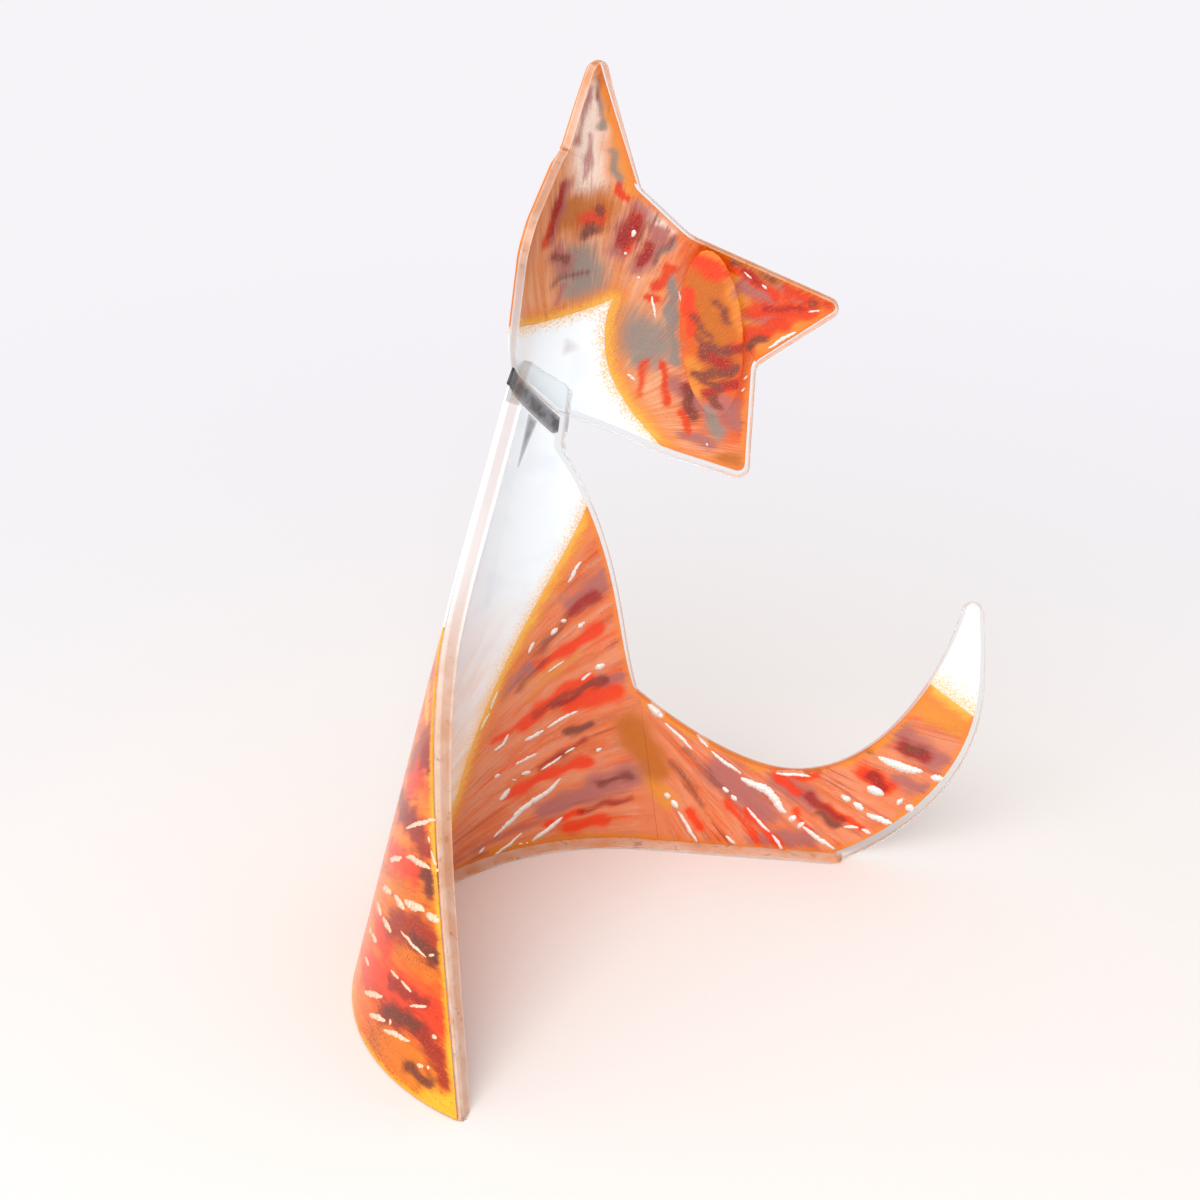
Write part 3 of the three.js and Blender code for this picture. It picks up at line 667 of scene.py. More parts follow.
left_eye = oval(NOSE_REACH - EYE_REACH, LEFT_EYE_RISE, *EYE_SIZE, -SPOT_SLANT)
right_eye = oval(NOSE_REACH + EYE_REACH, RIGHT_EYE_RISE, *EYE_SIZE, SPOT_SLANT)
left_whisker, right_whisker = (
    oval(NOSE_REACH + side * WHISKER_REACH, WHISKER_RISE, *WHISKER_SIZE, side * SPOT_SLANT)
    for side in (-1, 1))
ear_patch = oval(*PATCH_PLACE, *PATCH_SIZE, PATCH_SLANT)
nose = tidy(rounded([(on_head(NOSE_REACH + across, rise), NOSE_ROUND) for across, rise in (
    (-NOSE_HALF, NOSE_RISE), (0, -NOSE_RISE), (NOSE_HALF, NOSE_RISE))]))
print("muzzle outline has", len(muzzle), "points")

# %% [markdown]
# ## Clear glass
#
# The sheets are plain window-like glass, fire-polished by the kiln, so they are smooth with a slow
# ripple. A Principled shader with full transmission bends the view as glass does, but thin sheets
# that are lit all round look mostly as if nothing were there. So most of the light passes straight
# through, and the share that is bent grows at the rounded rim, where real glass shows a fine
# outline. Its brown tint is painted into the rim's colour, as painted refraction for the dark line
# that the bent light draws there. Shadow rays and diffuse rays always pass, because lamps shine
# through clear glass.

# %% Clear glass finish
CLEAR_SHARE, RIM_SHARE = 0.97, 0.45
RIM_FROM, RIM_TO = 0.05, 0.5
GLASS_BEND = 1.2
RIPPLE_SCALE, SMEAR_SCALE = 45, 300


def noise(finish, place, scale, detail=2.0):
    return finish.node("ShaderNodeTexNoise", None,
                       {"Vector": place, "Scale": scale, "Detail": detail, "Roughness": 0.55})


def flat_place(finish):
    """Where a point lay on the flat pattern, in metres."""
    return finish.node("ShaderNodeAttribute", {"attribute_name": "flat"}, None, "Vector")


def mixed(finish, factor, first, second):
    """A colour between two others."""
    return finish.node("ShaderNodeMix", {"data_type": "RGBA"}, {0: factor, 6: first, 7: second}, 2)


def eased(finish, value, low, high):
    """A soft step from 0 to 1 between two values."""
    return finish.node("ShaderNodeMapRange", {"interpolation_type": "SMOOTHSTEP"},
                       {"Value": value, "From Min": low, "From Max": high})


def stored(finish, name):
    return finish.node("ShaderNodeAttribute", {"attribute_name": name}, None, "Fac")


def clear_glass_finish():
    finish = Finish("clear_sheet")
    place = flat_place(finish)
    outline = 1 - eased(finish, stored(finish, "rim"), RIM_FROM, RIM_TO)
    # Painted refraction: a brown tint at the rounded rim stands for the dark outline that refraction
    # draws there.
    rim_refraction_hue = mixed(finish, outline, tint(253, 252, 251), tint(176, 124, 98))
    ripple = noise(finish, place, RIPPLE_SCALE)
    bump = finish.node("ShaderNodeBump", None,
                       {"Strength": 0.06, "Distance": 0.001, "Height": ripple}, "Normal")
    glass = finish.node("ShaderNodeBsdfPrincipled", None, {
        "Base Color": rim_refraction_hue, "Roughness": 0.01 + 0.05 * noise(finish, place, SMEAR_SCALE),
        "IOR": GLASS_BEND, "Transmission Weight": 1.0, "Normal": bump})
    ray = finish.node("ShaderNodeLightPath", None, None, ("Is Shadow Ray", "Is Diffuse Ray"))
    lit = ray[0].sum("MAXIMUM", ray[0], ray[1])
    passing = lit.sum("MAXIMUM", lit, CLEAR_SHARE - RIM_SHARE * outline)
    through = finish.node("ShaderNodeBsdfTransparent", None, {"Color": tint(253, 254, 254)})
    return finish.surface(finish.node("ShaderNodeMixShader", None,
                                      {0: passing, 1: glass, 2: through}))


clear_glass = clear_glass_finish()
print(clear_glass.name, "has", len(clear_glass.node_tree.nodes), "nodes")

# %% [markdown]
# ## Brushed powder
#
# The orange fields are glass powder that was sifted on, brushed and scraped with a stiff brush. On
# the flat sheet each brush stroke is a short line with a width, and a stroke fades out to both
# sides. The mesh stores, point by point, how much of each colour lies there. The material then
# frays those soft strokes with noise that is stretched along the brush's own fan of directions.
# Close to the fold below the back, where two fans meet, the noise is calmed, so that no hard line
# shows between the fields.

# %% Strokes on a piece
STROKE_KINDS = ("rust", "milk", "ash", "amber", "honey", "plum", "ember", "wine", "umber")
FINEST = 1.5
SPREAD = 1.5
SWAY = 0.5
FOLD_REACH = 9


def ramp(values, start, end):
    """A straight rise from 0 at one value to 1 at another."""
    return np.clip((values - start) / (end - start), 0, 1)


def away(places, line):
    """Distance of flat places from a line of points."""
    nearest = np.full(len(places), np.inf)
    for first, second in zip(line, line[1:]):
        run = second - first
        share = np.clip((places - first) @ run / (run @ run), 0, 1)
        gap = np.linalg.norm(places - first - share[:, None] * run, axis=1)
        nearest = np.minimum(nearest, gap)
    return nearest


def cover(places, strokes):
    """How much of a set of strokes lies on each flat place, from 0 to 1."""
    x, y = places.T
    waves = np.column_stack([np.sin(0.9 * y + 0.35 * x), np.sin(0.8 * x - 0.4 * y)])
    swayed = places + SWAY * waves
    most = np.zeros(len(places))
    for width, *line in strokes:
        half = max(width, FINEST) / 2 * SPREAD
        load = min(1, (width / FINEST) ** 0.5)
        gap = away(swayed, np.array(line, float))
        most = np.maximum(most, load * 0.5 ** ((gap / half) ** 2))
    return most


def flat_places(piece):
    """Where a piece's points lay on the flat pattern, in millimetres."""
    row = np.empty(3 * len(piece.data.vertices))
    piece.data.attributes["flat"].data.foreach_get("vector", row)
    return row.reshape(-1, 3)[:, :2] / MM


def paint(piece, values):
    """Stores one number for each point and each name."""
    for name, numbers in values.items():
        layer = piece.data.attributes.new(name, "FLOAT", "POINT")
        layer.data.foreach_set("value", np.ascontiguousarray(numbers, np.float32))


def head_places(places):
    """Flat places as reach across and rise up the head."""
    shifted = places - np.array(HEAD)
    cosine, sine = math.cos(HEAD_TURN), math.sin(HEAD_TURN)
    return shifted @ np.array([[cosine, -sine], [sine, cosine]])


def brush(piece, strokes, seams, outline, head=False, spill=1):
    """Paints strokes, the distances to seams and border, and how calm the noise is."""
    places = flat_places(piece)
    brushed = head_places(places) if head else places
    values = {kind: cover(brushed, strokes[kind]) for kind in STROKE_KINDS if kind in strokes}
    values["seam"] = np.min([away(places, np.array(seam)) for seam in seams], axis=0) / spill
    values["rim"] = away(places, np.array(outline + outline[:1]))
    values["calm"] = ramp(away(places, np.array(fold)), 0, FOLD_REACH)
    paint(piece, values)
    print(piece.name, "carries", sum(len(kind) for kind in strokes.values()), "strokes")


# %% Powder finish
FAN_REACH = 0.1
GROUND_SCALE, FIBRE_SCALE, GRAIN_SCALE, SPECK_SCALE = 230, 950, 2300, 1700
DRAG_SCALE, DRAG_SCALE_STEP, DRAG_STRETCH = 420, 90, 20
STROKE_FRAY, STROKE_GRIT, STROKE_COVER = 1.1, 0.3, 0.94
SEAM_FRAY, BORDER_FRAY = 5, 3
SEAM_COVER, BORDER_COVER, DUST_COVER = 0.9, 0.8, 0.4
POWDER_ROUGH, POWDER_RELIEF = 0.12, 0.15


def fibres(finish, place, fan, stretch=8, layer=0):
    """Flat places drawn out along the brush's fan of directions, each layer with other noise."""
    spread = finish.node("ShaderNodeVectorMath", {"operation": "SUBTRACT"},
                         {0: place, 1: (fan[0] * MM, fan[1] * MM, 0)})
    x, y = finish.node("ShaderNodeSeparateXYZ", None, {0: spread}, ("X", "Y"))
    reach = finish.node("ShaderNodeVectorMath", {"operation": "LENGTH"}, {0: spread}, "Value")
    return finish.node("ShaderNodeCombineXYZ", None,
                       {0: x.sum("ARCTAN2", y, x) * FAN_REACH, 1: reach / stretch, 2: float(layer)})


def glossy(finish, colour, grain, rough, relief, alpha=1.0, glow=0.0):
    """The fused surface: glossy, slightly uneven, with a glow for the light that comes through."""
    bump = finish.node("ShaderNodeBump", None,
                       {"Strength": relief, "Distance": 0.0004, "Height": grain}, "Normal")
    return finish.surface(finish.node("ShaderNodeBsdfPrincipled", None, {
        "Base Color": colour, "Roughness": rough + 0.2 * grain, "IOR": 1.5, "Normal": bump,
        "Alpha": alpha, "Emission Color": colour, "Emission Strength": glow}))


def powder_finish(name, palette, fan, middle, back, front):
    """Brushed powder. Each side of the layer's middle has its own saturation and value."""
    finish = Finish(name)
    place = flat_place(finish)
    fan_place = fibres(finish, place, fan)
    broad = noise(finish, fan_place, GROUND_SCALE, 3.0)
    fine = noise(finish, fan_place, FIBRE_SCALE, 4.0)
    grain = noise(finish, place, GRAIN_SCALE, 3.0)
    calm = stored(finish, "calm")
    ground = 0.5 + calm * (eased(finish, broad, 0.38, 0.62) - 0.5)
    colour = mixed(finish, ground, palette["base"], palette["deep"])
    streak = palette["streaks"] * calm * eased(finish, fine, 0.5, 0.8)
    colour = mixed(finish, streak, colour, palette["pale"])
    for number, kind in enumerate(("plum", "ember", "wine")):
        dragged = noise(finish, fibres(finish, place, fan, DRAG_STRETCH, number),
                        DRAG_SCALE + DRAG_SCALE_STEP * number, 3.0)
        band = eased(finish, dragged + 0.15 * (grain - 0.5), 0.56, 0.74)
        colour = mixed(finish, palette["drags"] * calm * band, colour, palette[kind])
    for kind in STROKE_KINDS:
        if kind in palette:
            ragged = (stored(finish, kind) + STROKE_FRAY * calm * (fine - 0.5)
                      + STROKE_GRIT * (grain - 0.5))
            stroke = STROKE_COVER * eased(finish, ragged, 0.06, 0.9)
            colour = mixed(finish, stroke, colour, palette[kind])
    dust = DUST_COVER * eased(finish, grain, 0.5, 0.75)
    colour = mixed(finish, dust, colour, palette["deep"])
    edge = stored(finish, "seam") + SEAM_FRAY * (grain - 0.5) + SEAM_FRAY * (fine - 0.5)
    near_seam = SEAM_COVER - SEAM_COVER * eased(finish, edge, 1.0, 7.0)
    colour = mixed(finish, near_seam, colour, palette["border"])
    colour = mixed(finish, 1 - eased(finish, edge, 0.0, 3.6), colour, palette["fringe"])
    border = stored(finish, "rim") + BORDER_FRAY * (grain - 0.5) + BORDER_FRAY * (fine - 0.5)
    near_border = BORDER_COVER - BORDER_COVER * eased(finish, border, 0.2, 2.2)
    colour = mixed(finish, near_border, colour, palette["border"])
    black = noise(finish, place, SPECK_SCALE, 1.0) + 1.2 * (broad - 0.5)
    speck = palette["specks"] * eased(finish, black, 0.58, 0.82)
    colour = mixed(finish, speck, colour, palette["umber"])
    height = finish.node("ShaderNodeSeparateXYZ", None, {0: place}, "Z")
    sides = [finish.node("ShaderNodeHueSaturation", None, {
        "Saturation": saturation, "Value": value, "Color": colour})
        for saturation, value in (back, front)]
    colour = mixed(finish, height > middle * MM, *sides)
    return glossy(finish, colour, grain, POWDER_ROUGH, POWDER_RELIEF)


# %% [markdown]
# ## White opal, smoke and collar
#
# White powder melts to an even, milky skin. It stays lively only through faint clouds, and through
# orange grains that strayed over the seam. Opal glass also passes a little of the light that falls
# on its other side, and a faint glow stands for that. The nose and the tag were dabbed on, so they
# fade into their surroundings at a soft, grainy edge. The collar is a denser black that thins to
# grey.

# %% White, smoke and collar finishes
OPAL_GLOW = 0.06
FLANK_FAN = (-130, -12)
PAINTED_GLOW_LEAST = 0.45
STRAY_REACH, STRAY_COVER = 16, 0.9
COLLAR_FRONT = 0.5


def opal_finish(name):
    finish = Finish(name)
    place = flat_place(finish)
    cloud, grain = noise(finish, place, 90, 4.0), noise(finish, place, GRAIN_SCALE, 3.0)
    colour = mixed(finish, eased(finish, cloud, 0.45, 0.75),
                   tint(246, 249, 254), tint(238, 241, 248))
    wisp = eased(finish, noise(finish, fibres(finish, place, FLANK_FAN), 420, 4.0), 0.35, 0.65)
    # Painted glow: orange wisps low on the chest, for the light that the haunches throw onto it.
    blush = stored(finish, "blush") * (PAINTED_GLOW_LEAST + (1 - PAINTED_GLOW_LEAST) * wisp)
    colour = mixed(finish, blush, colour, tint(249, 200, 166))
    edge = stored(finish, "seam") + STRAY_REACH * (grain - 0.5)
    stray = STRAY_COVER - STRAY_COVER * eased(finish, edge, -1.0, 3.4)
    colour = mixed(finish, stray, colour, tint(246, 188, 100))
    return glossy(finish, colour, grain, 0.08, 0.06, glow=OPAL_GLOW)


def dabbed_finish(name, heart, around, soft):
    """A dabbed spot, from the colour around it to its heart's colour."""
    finish = Finish(name)
    place = flat_place(finish)
    grain, cloud = noise(finish, place, 1700, 3.0), noise(finish, place, 400, 2.0)
    edge = stored(finish, "rim") + soft * (grain - 0.5) + soft * (cloud - 0.5)
    dark = mixed(finish, 0.5 * eased(finish, cloud, 0.35, 0.7), heart, around)
    colour = mixed(finish, eased(finish, edge, 0.1, soft), around, dark)
    return glossy(finish, colour, grain, 0.1, 0.1)


def collar_finish():
    finish = Finish("collar_black")
    place = flat_place(finish)
    grain, cloud = noise(finish, place, 1500, 3.0), noise(finish, place, 260, 3.0)
    grey = mixed(finish, eased(finish, cloud, 0.35, 0.65), tint(84, 82, 84), tint(132, 132, 138))
    edge = stored(finish, "rim") + 1.4 * (grain - 0.5)
    grey = mixed(finish, 1 - eased(finish, edge, 0.0, 1.3), grey, tint(168, 166, 166))
    height = finish.node("ShaderNodeSeparateXYZ", None, {0: place}, "Z")
    black = height.sum("MAXIMUM", height > COLLAR_FRONT * MM, stored(finish, "black"))
    colour = mixed(finish, black, grey, tint(26, 25, 26))
    return glossy(finish, colour, grain, 0.06, 0.08)


white_opal = opal_finish("white_opal")
nose_smoke = dabbed_finish("nose_smoke", tint(224, 221, 226), tint(246, 246, 249), 1.8)
tag_smoke = dabbed_finish("tag_smoke", tint(142, 143, 150), tint(214, 214, 220), 1.2)
collar_black = collar_finish()
print("white opal has", len(white_opal.node_tree.nodes), "nodes")

# %% [markdown]
# ## Laying and curling the pieces
#
# Every piece follows one path: overlay, cut, thicken, curl. The clear body sheet is made too long
# at the floor and ground flat afterwards, as the real cat is on a grinding wheel, so that it stands
# firmly.

# %% Sheets of clear glass
BODY_THICKNESS, HEAD_BACK, HEAD_FRONT = 5, 0.1, 2.7
BODY_EDGE, HEAD_EDGE = 2, 1.1
GRIND = 3
PLAIN_STEPS = dict(ruling_step=math.radians(0.5), level_step=3.0)
FINE_STEPS = dict(ruling_step=math.radians(0.22), level_step=1.0)
pieces = []


def lay(name, node, slot, finish, inside, outside, low, high, edge_round, turn, steps):
    """Makes one curled piece from flat outlines and remembers what it stands for."""
    places, faces = overlay(inside, outside)
    flat = cut_face(places, faces, edge_round, **steps)
    piece = bpy.data.objects.new(name, rimmed_mesh(name, flat, low, high, edge_round))
    flat.free()
    bpy.context.scene.collection.objects.link(piece)
    curl(piece, finish, turn)
    pieces.append((piece, node, slot))
    return piece


def ground_flat(piece):
    """Cuts a piece off at the floor and closes the cut."""
    cut = bmesh.new()
    cut.from_mesh(piece.data)
    parts = bmesh.ops.bisect_plane(
        cut, geom=cut.verts[:] + cut.edges[:] + cut.faces[:], dist=NEAR * MM,
        plane_co=(0, 0, 0), plane_no=(0, 0, -1), clear_outer=True)
    rim = [part for part in parts["geom_cut"] if isinstance(part, bmesh.types.BMEdge)]
    bmesh.ops.edgeloop_fill(cut, edges=rim)
    cut.to_mesh(piece.data)
    cut.free()


body_sheet = lay("body_sheet", "body_glass", "clear_glass", clear_glass, [body_outline(GRIND)], [],
                 -BODY_THICKNESS, 0, BODY_EDGE, BODY_CURL, PLAIN_STEPS)
ground_flat(body_sheet)
brush(body_sheet, {}, [flank_seam], body_outline(0))
head_sheet = lay("head_sheet", "head_glass", "clear_glass", clear_glass, [head_outline], [],
                 HEAD_BACK, HEAD_FRONT, HEAD_EDGE, HEAD_CURL, PLAIN_STEPS)
brush(head_sheet, {}, [muzzle_seam], head_outline)

# %% [markdown]
# ## Right haunch
#
# This field lies on the front of the flat wing, so the photograph sees its underside through the
# clear sheet: peach and tan, with red and plum strokes that fan out from the far foot. Its front is
# stronger in colour.

# %% Right haunch field
FIELD = dict(low=0.1, high=0.6, edge_round=0.12, turn=BODY_CURL, steps=FINE_STEPS)
FIELD_MIDDLE = 0.35
COLOUR_RIM, FLOOR_RIM = 1.5, 0.4
body_layer = grown(body_outline(COLOUR_RIM - FLOOR_RIM), -COLOUR_RIM)
BACK_STRENGTH, FRONT_STRENGTH = (1.05, 1.05), (1.18, 0.98)
PEACH = {
    "base": tint(229, 142, 106), "deep": tint(226, 118, 76), "pale": tint(242, 184, 152),
    "ember": tint(240, 58, 24), "wine": tint(160, 38, 38), "umber": tint(122, 58, 48),
    "plum": tint(174, 104, 100), "amber": tint(230, 146, 70), "honey": tint(190, 106, 44),
    "fringe": tint(248, 182, 88), "border": tint(236, 136, 70), "specks": 0.15,
    "streaks": 1.0, "drags": 0.75}
flank_strokes = {
    "plum": [(4.1, (-20, 79), (-11, 86)), (3.1, (-42, 56), (-34, 61)), (2.7, (-12, 53), (-7, 54)),
             (5.4, (-14, 18), (-4, 22)), (0.6, (-52, 5), (-40, 7), (-30, 9)),
             (4.1, (-29, 12), (-16, 16))],
    "wine": [(2.3, (-21, 76), (-14, 81)), (1.4, (-26, 46), (-11, 54)), (0.7, (-30, 27), (-17, 34)),
             (0.8, (-18, 10), (-4, 14))],
    "umber": [(0.5, (-32, 64), (-21, 75)), (0.5, (-38, 54), (-28, 63)),
              (0.6, (-32, 45), (-24, 49), (-11, 54)), (1.8, (-22, 37), (-16, 39)),
              (1.2, (-13, 19), (-4, 22))],
    "ember": [(2.3, (-30, 61), (-21, 65), (-13, 70)), (2.7, (-36, 42), (-25, 50), (-16, 54)),
              (4.1, (-21, 47), (-9, 49)), (1.0, (-45, 40), (-34, 44)),
              (2.3, (-40, 20), (-28, 24), (-16, 27)), (1.4, (-28, 7), (-18, 10)),
              (2.3, (-22, 5), (-11, 7))],
    "amber": [(0.6, (-34, 51), (-26, 58), (-19, 63)), (0.6, (-36, 56), (-23, 61)),
              (2.7, (-2, 24), (5, 17)), (2.5, (-45, 2), (-26, 0), (4, 0))],
    "honey": [(5.9, (-4, 38), (3, 25))]}

flank_powder = powder_finish("flank_powder", PEACH, FLANK_FAN, FIELD_MIDDLE, BACK_STRENGTH,
                             FRONT_STRENGTH)
right_haunch = lay("right_haunch_powder", "right_haunch_colour", "orange_glass", flank_powder,
                   [body_layer, right_flank], [], **FIELD)
brush(right_haunch, flank_strokes, [flank_seam], body_layer)

# %% [markdown]
# ## Tail
#
# The tail carries the same powders, brushed downwards and outwards from the notch in the back. A
# white tip ends it, and grains of amber mark the seam between the two.

# %% Tail fields
TAIL_FAN = (-22, 66)
TIP_SPILL = 2.5
tail_strokes = {
    "umber": [(0.5, (12, 32), (24, 18)), (1.5, (50, 14), (56, 10)), (1.5, (75, 38), (79, 36)),
              (0.7, (39, 28), (50, 28)), (0.5, (8, 28), (17, 14)), (1.1, (60, 33), (64, 36))],
    "ember": [(0.9, (24, 16), (34, 2)), (1.2, (30, 13), (41, 0)), (1.8, (38, 26), (49, 26)),
              (1.4, (39, 24), (45, 20)), (1.5, (53, 16), (63, 10)), (3.0, (63, 29), (70, 24)),
              (2.0, (14, 11), (16, 6)), (0.8, (44, 14), (48, 7))],
    "wine": [(2.0, (48, 19), (57, 12)), (2.0, (65, 28), (69, 24)), (2.7, (74, 38), (80, 35)),
             (0.7, (35, 20), (40, 14))],
    "plum": [(4.7, (74, 41), (84, 34)), (6.1, (22, 25), (34, 13)), (4.1, (34, 3), (48, 5)),
             (2.7, (72, 27), (81, 24)), (4.1, (39, 24), (48, 18))],
    "honey": [(5.9, (-4, 38), (3, 25))],
    "amber": [(3.4, (0, 24), (7, 14)), (2.7, (0, 48), (14, 38), (34, 28)), (2.7, (-7, 0), (26, -2)),
              (4.1, (77, 52), (91, 45)), (2.7, (58, 32), (73, 44)), (1.8, (72, 11), (88, 30))]}

tail_powder = powder_finish("tail_powder", PEACH, TAIL_FAN, FIELD_MIDDLE, BACK_STRENGTH,
                            FRONT_STRENGTH)
tail = lay("tail_powder", "tail_colour", "rust_glass", tail_powder,
           [body_layer, tail_side], [grown(tail_white, SEAM)], **FIELD)
brush(tail, tail_strokes, [tip_seam], body_layer)
tail_tip = lay("tail_tip_opal", "tail_tip_white", "white_glass", white_opal,
               [body_layer, tail_white], [], **FIELD)
brush(tail_tip, {}, [tip_seam], body_layer, spill=TIP_SPILL)

# %% [markdown]
# ## Left haunch
#
# The sheet curls round, so on this side the photograph sees the front of the powder without glass
# over it: a saturated orange with dark red strokes and black grains.

# %% Left haunch field
WING_STRENGTH, WING_FAN = (1.04, 1.12), (-30, -15)
ORANGE = {
    "base": tint(242, 132, 46), "deep": tint(236, 104, 34), "pale": tint(248, 176, 104),
    "ember": tint(220, 50, 14), "wine": tint(142, 34, 24), "umber": tint(96, 42, 30),
    "plum": tint(160, 72, 54), "amber": tint(250, 176, 64), "honey": tint(208, 110, 30),
    "fringe": tint(246, 172, 64), "border": tint(248, 168, 62), "specks": 0.6,
    "streaks": 0.8, "drags": 0.5}
wing_strokes = {
    "ember": [(4.3, (-82, 96), (-85, 89)), (5.8, (-111, 75), (-109, 68)),
              (4.3, (-113, 48), (-133, 59)), (5.8, (-128, 34), (-137, 36)),
              (8.0, (-132, 22), (-152, 34), (-168, 42))],
    "amber": [(2.1, (-85, 88), (-105, 84)), (2.2, (-129, 72), (-149, 59)),
              (2.6, (-156, 54), (-170, 44), (-188, 28)), (7.2, (-176, 21), (-186, 27))],
    "plum": [(5.8, (-103, 72), (-107, 84))],
    "wine": [(5.0, (-110, 80), (-115, 82)), (4.3, (-104, 58), (-122, 65)),
             (5.0, (-119, 65), (-131, 66)), (5.8, (-135, 42), (-144, 50), (-155, 53)),
             (2.2, (-146, 32), (-161, 40)), (4.0, (-150, 24), (-160, 33), (-169, 34), (-180, 32)),
             (2.9, (-137, 62), (-141, 62))],
    "umber": [(3.7, (-136, 62), (-141, 62)), (2.6, (-145, 47), (-155, 51)),
              (2.1, (-151, 26), (-163, 34)), (2.2, (-168, 24), (-177, 27))],
    "honey": [(5.8, (-128, 51), (-142, 60)), (8.0, (-140, 34), (-153, 43), (-162, 48)),
              (8.6, (-155, 19), (-170, 25))]}

wing_powder = powder_finish("wing_powder", ORANGE, WING_FAN, FIELD_MIDDLE, BACK_STRENGTH,
                            WING_STRENGTH)
left_haunch = lay("left_haunch_powder", "left_haunch_colour", "orange_glass", wing_powder,
                  [body_layer, left_flank], [], **FIELD)
brush(left_haunch, wing_strokes, [wing_seam], body_layer)

# %% [markdown]
# ## Chest, collar and tag
#
# The white chest runs from the collar to a point at the floor. Low on the chest, thin wisps of
# painted orange glow stand for the light that the haunches throw onto it. The collar and its
# pointed tag lie under the head's chin.

# %% Chest, collar and tag
PAINTED_GLOW_TOP, PAINTED_GLOW_FOOT = 92, 30
COLLAR_MARGIN = 0.6
COLLAR_BLACK = -12.5
COLLAR = dict(low=0.1, high=0.9, edge_round=0.3, turn=BODY_CURL, steps=FINE_STEPS)
TAG = dict(low=0.07, high=0.8, edge_round=0.2, turn=BODY_CURL, steps=FINE_STEPS)

chest = lay("chest_opal", "chest_bib", "white_glass", white_opal, [body_layer],
            [grown(region, SEAM) for region in
             (right_flank, left_flank, tail_side, above_bib)], **FIELD)
brush(chest, {}, [flank_seam, wing_seam], body_layer)
# Painted glow: how much of the haunches' orange light is painted onto the chest, strongest at the
# floor.
paint(chest, {"blush": ramp(flat_places(chest)[:, 1], PAINTED_GLOW_TOP, PAINTED_GLOW_FOOT)})

collar_outline = grown(body_outline(0), -COLLAR_MARGIN)
collar = lay("collar_band", "collar", "black_glass", collar_black,
             [collar_outline, collar_region], [], **COLLAR)
brush(collar, {}, [flank_seam], collar_region)
collar_across = head_places(flat_places(collar))[:, 0]
paint(collar, {"black": ramp(collar_across, COLLAR_BLACK, COLLAR_BLACK - 1)})
tag = lay("collar_tie", "collar_tag", "smoke_glass", tag_smoke, [tag_region], [], **TAG)
brush(tag, {}, [flank_seam], tag_region)

# %% [markdown]
# ## Face and ears
#
# The face is brushed in the same powders, with grey ash dragged across the brow and the right
# cheek. The strokes are given across and up the head, so that they stay with it if the head is
# moved. Ears, eyes and whisker marks lie in one cloud of powder with the face, so they share its
# finish and its strokes. The patch at the right ear lies on the back of the sheet. Light shines
# through such thin coloured glass, so the patch throws no shadow on the face.

# %% Face strokes
head_strokes = {
    "plum": [(3.4, (-31, 34), (-26, 21)), (3.4, (-20, 20), (-15, 18)), (0.8, (-11, 13), (-10, 9)),
             (0.7, (-43, 58), (-36, 45)), (0.7, (-34, 49), (-27, 40)), (4.7, (-9, 40), (-6, 30)),
             (3.4, (-1, 39), (1, 29)), (1.6, (-4, 39), (-1, 42)), (3.2, (31, 11), (39, 11)),
             (3.8, (43, 18), (50, 15)), (2.2, (43, 2), (50, 5)), (3.8, (24, 46), (31, 47)),
             (3.2, (32, 41), (36, 44))],
    "wine": [(1.6, (-32, 34), (-27, 23)), (3.0, (-9, 38), (-7, 32)), (1.8, (-2, 35), (0, 31)),
             (1.4, (-1, 35), (1, 30)), (1.4, (33, 13), (41, 7)), (0.8, (21, 48), (27, 49)),
             (0.8, (33, 45), (39, 51))],
    "ember": [(1.1, (-29, 24), (-26, 19)), (3.4, (-18, 31), (-17, 33)), (1.4, (-18, 42), (-14, 41)),
              (1.8, (-9, 39), (-4, 30)), (1.9, (7, 34), (8, 28)), (1.6, (8, 24), (11, 25)),
              (0.9, (21, 10), (26, 2)), (1.3, (25, 13), (33, 5)), (1.6, (38, 6), (43, 4)),
              (2.2, (3, 46), (11, 48)), (1.3, (18, 46), (23, 48), (32, 49)),
              (3.2, (34, 53), (42, 59)), (3.2, (31, 42), (42, 53)), (2.7, (35, 36), (39, 45))],
    "umber": [(1.5, (-20, 19), (-16, 19)), (0.6, (-15, 12), (-13, 16), (-8, 19)),
              (0.9, (-10, 4), (-7, 9)), (2.4, (-16, 28), (-15, 30)), (1.8, (-18, 35), (-17, 34)),
              (0.6, (-43, 62), (-36, 55)), (0.5, (-6, 43), (-5, 35)), (0.4, (2, 42), (2, 33)),
              (1.9, (11, 5), (15, 3)), (1.1, (34, 12), (42, 7)), (1.4, (40, 17), (43, 16)),
              (1.9, (17, 49), (22, 52), (28, 53)), (1.6, (37, 33), (38, 38)),
              (1.1, (40, 54), (41, 55))],
    "honey": [(7.4, (-24, 30), (-18, 34)), (3.2, (56, 4), (60, 7)), (2.7, (22, 51), (29, 53))],
    "milk": [(5.5, (-42, 56), (-25, 38)), (3.2, (-6, 42), (-1, 44))],
    "rust": [(17, (12, 50), (47, 18)), (18, (24, 47), (47, 61))],
    "ash": [(8, (-12, 20), (-6, 16)), (9, (10, 12), (18, 15)), (1.5, (-26, 49), (-18, 43)),
            (1.4, (-34, 54), (-33, 52)), (1.6, (2, 40), (2, 34)),
            (2.2, (10, 32), (17, 24), (26, 16)), (3.2, (19, 9), (21, 14)), (3.2, (42, 13), (49, 9)),
            (1.6, (31, 52), (37, 53))],
    "amber": [(2.0, (-43, 64), (-33, 56), (-21, 48), (-14, 43)), (1.6, (47, 23), (57, 12)),
              (2.2, (40, 35), (44, 54)), (3.2, (20, 44), (34, 38))]}
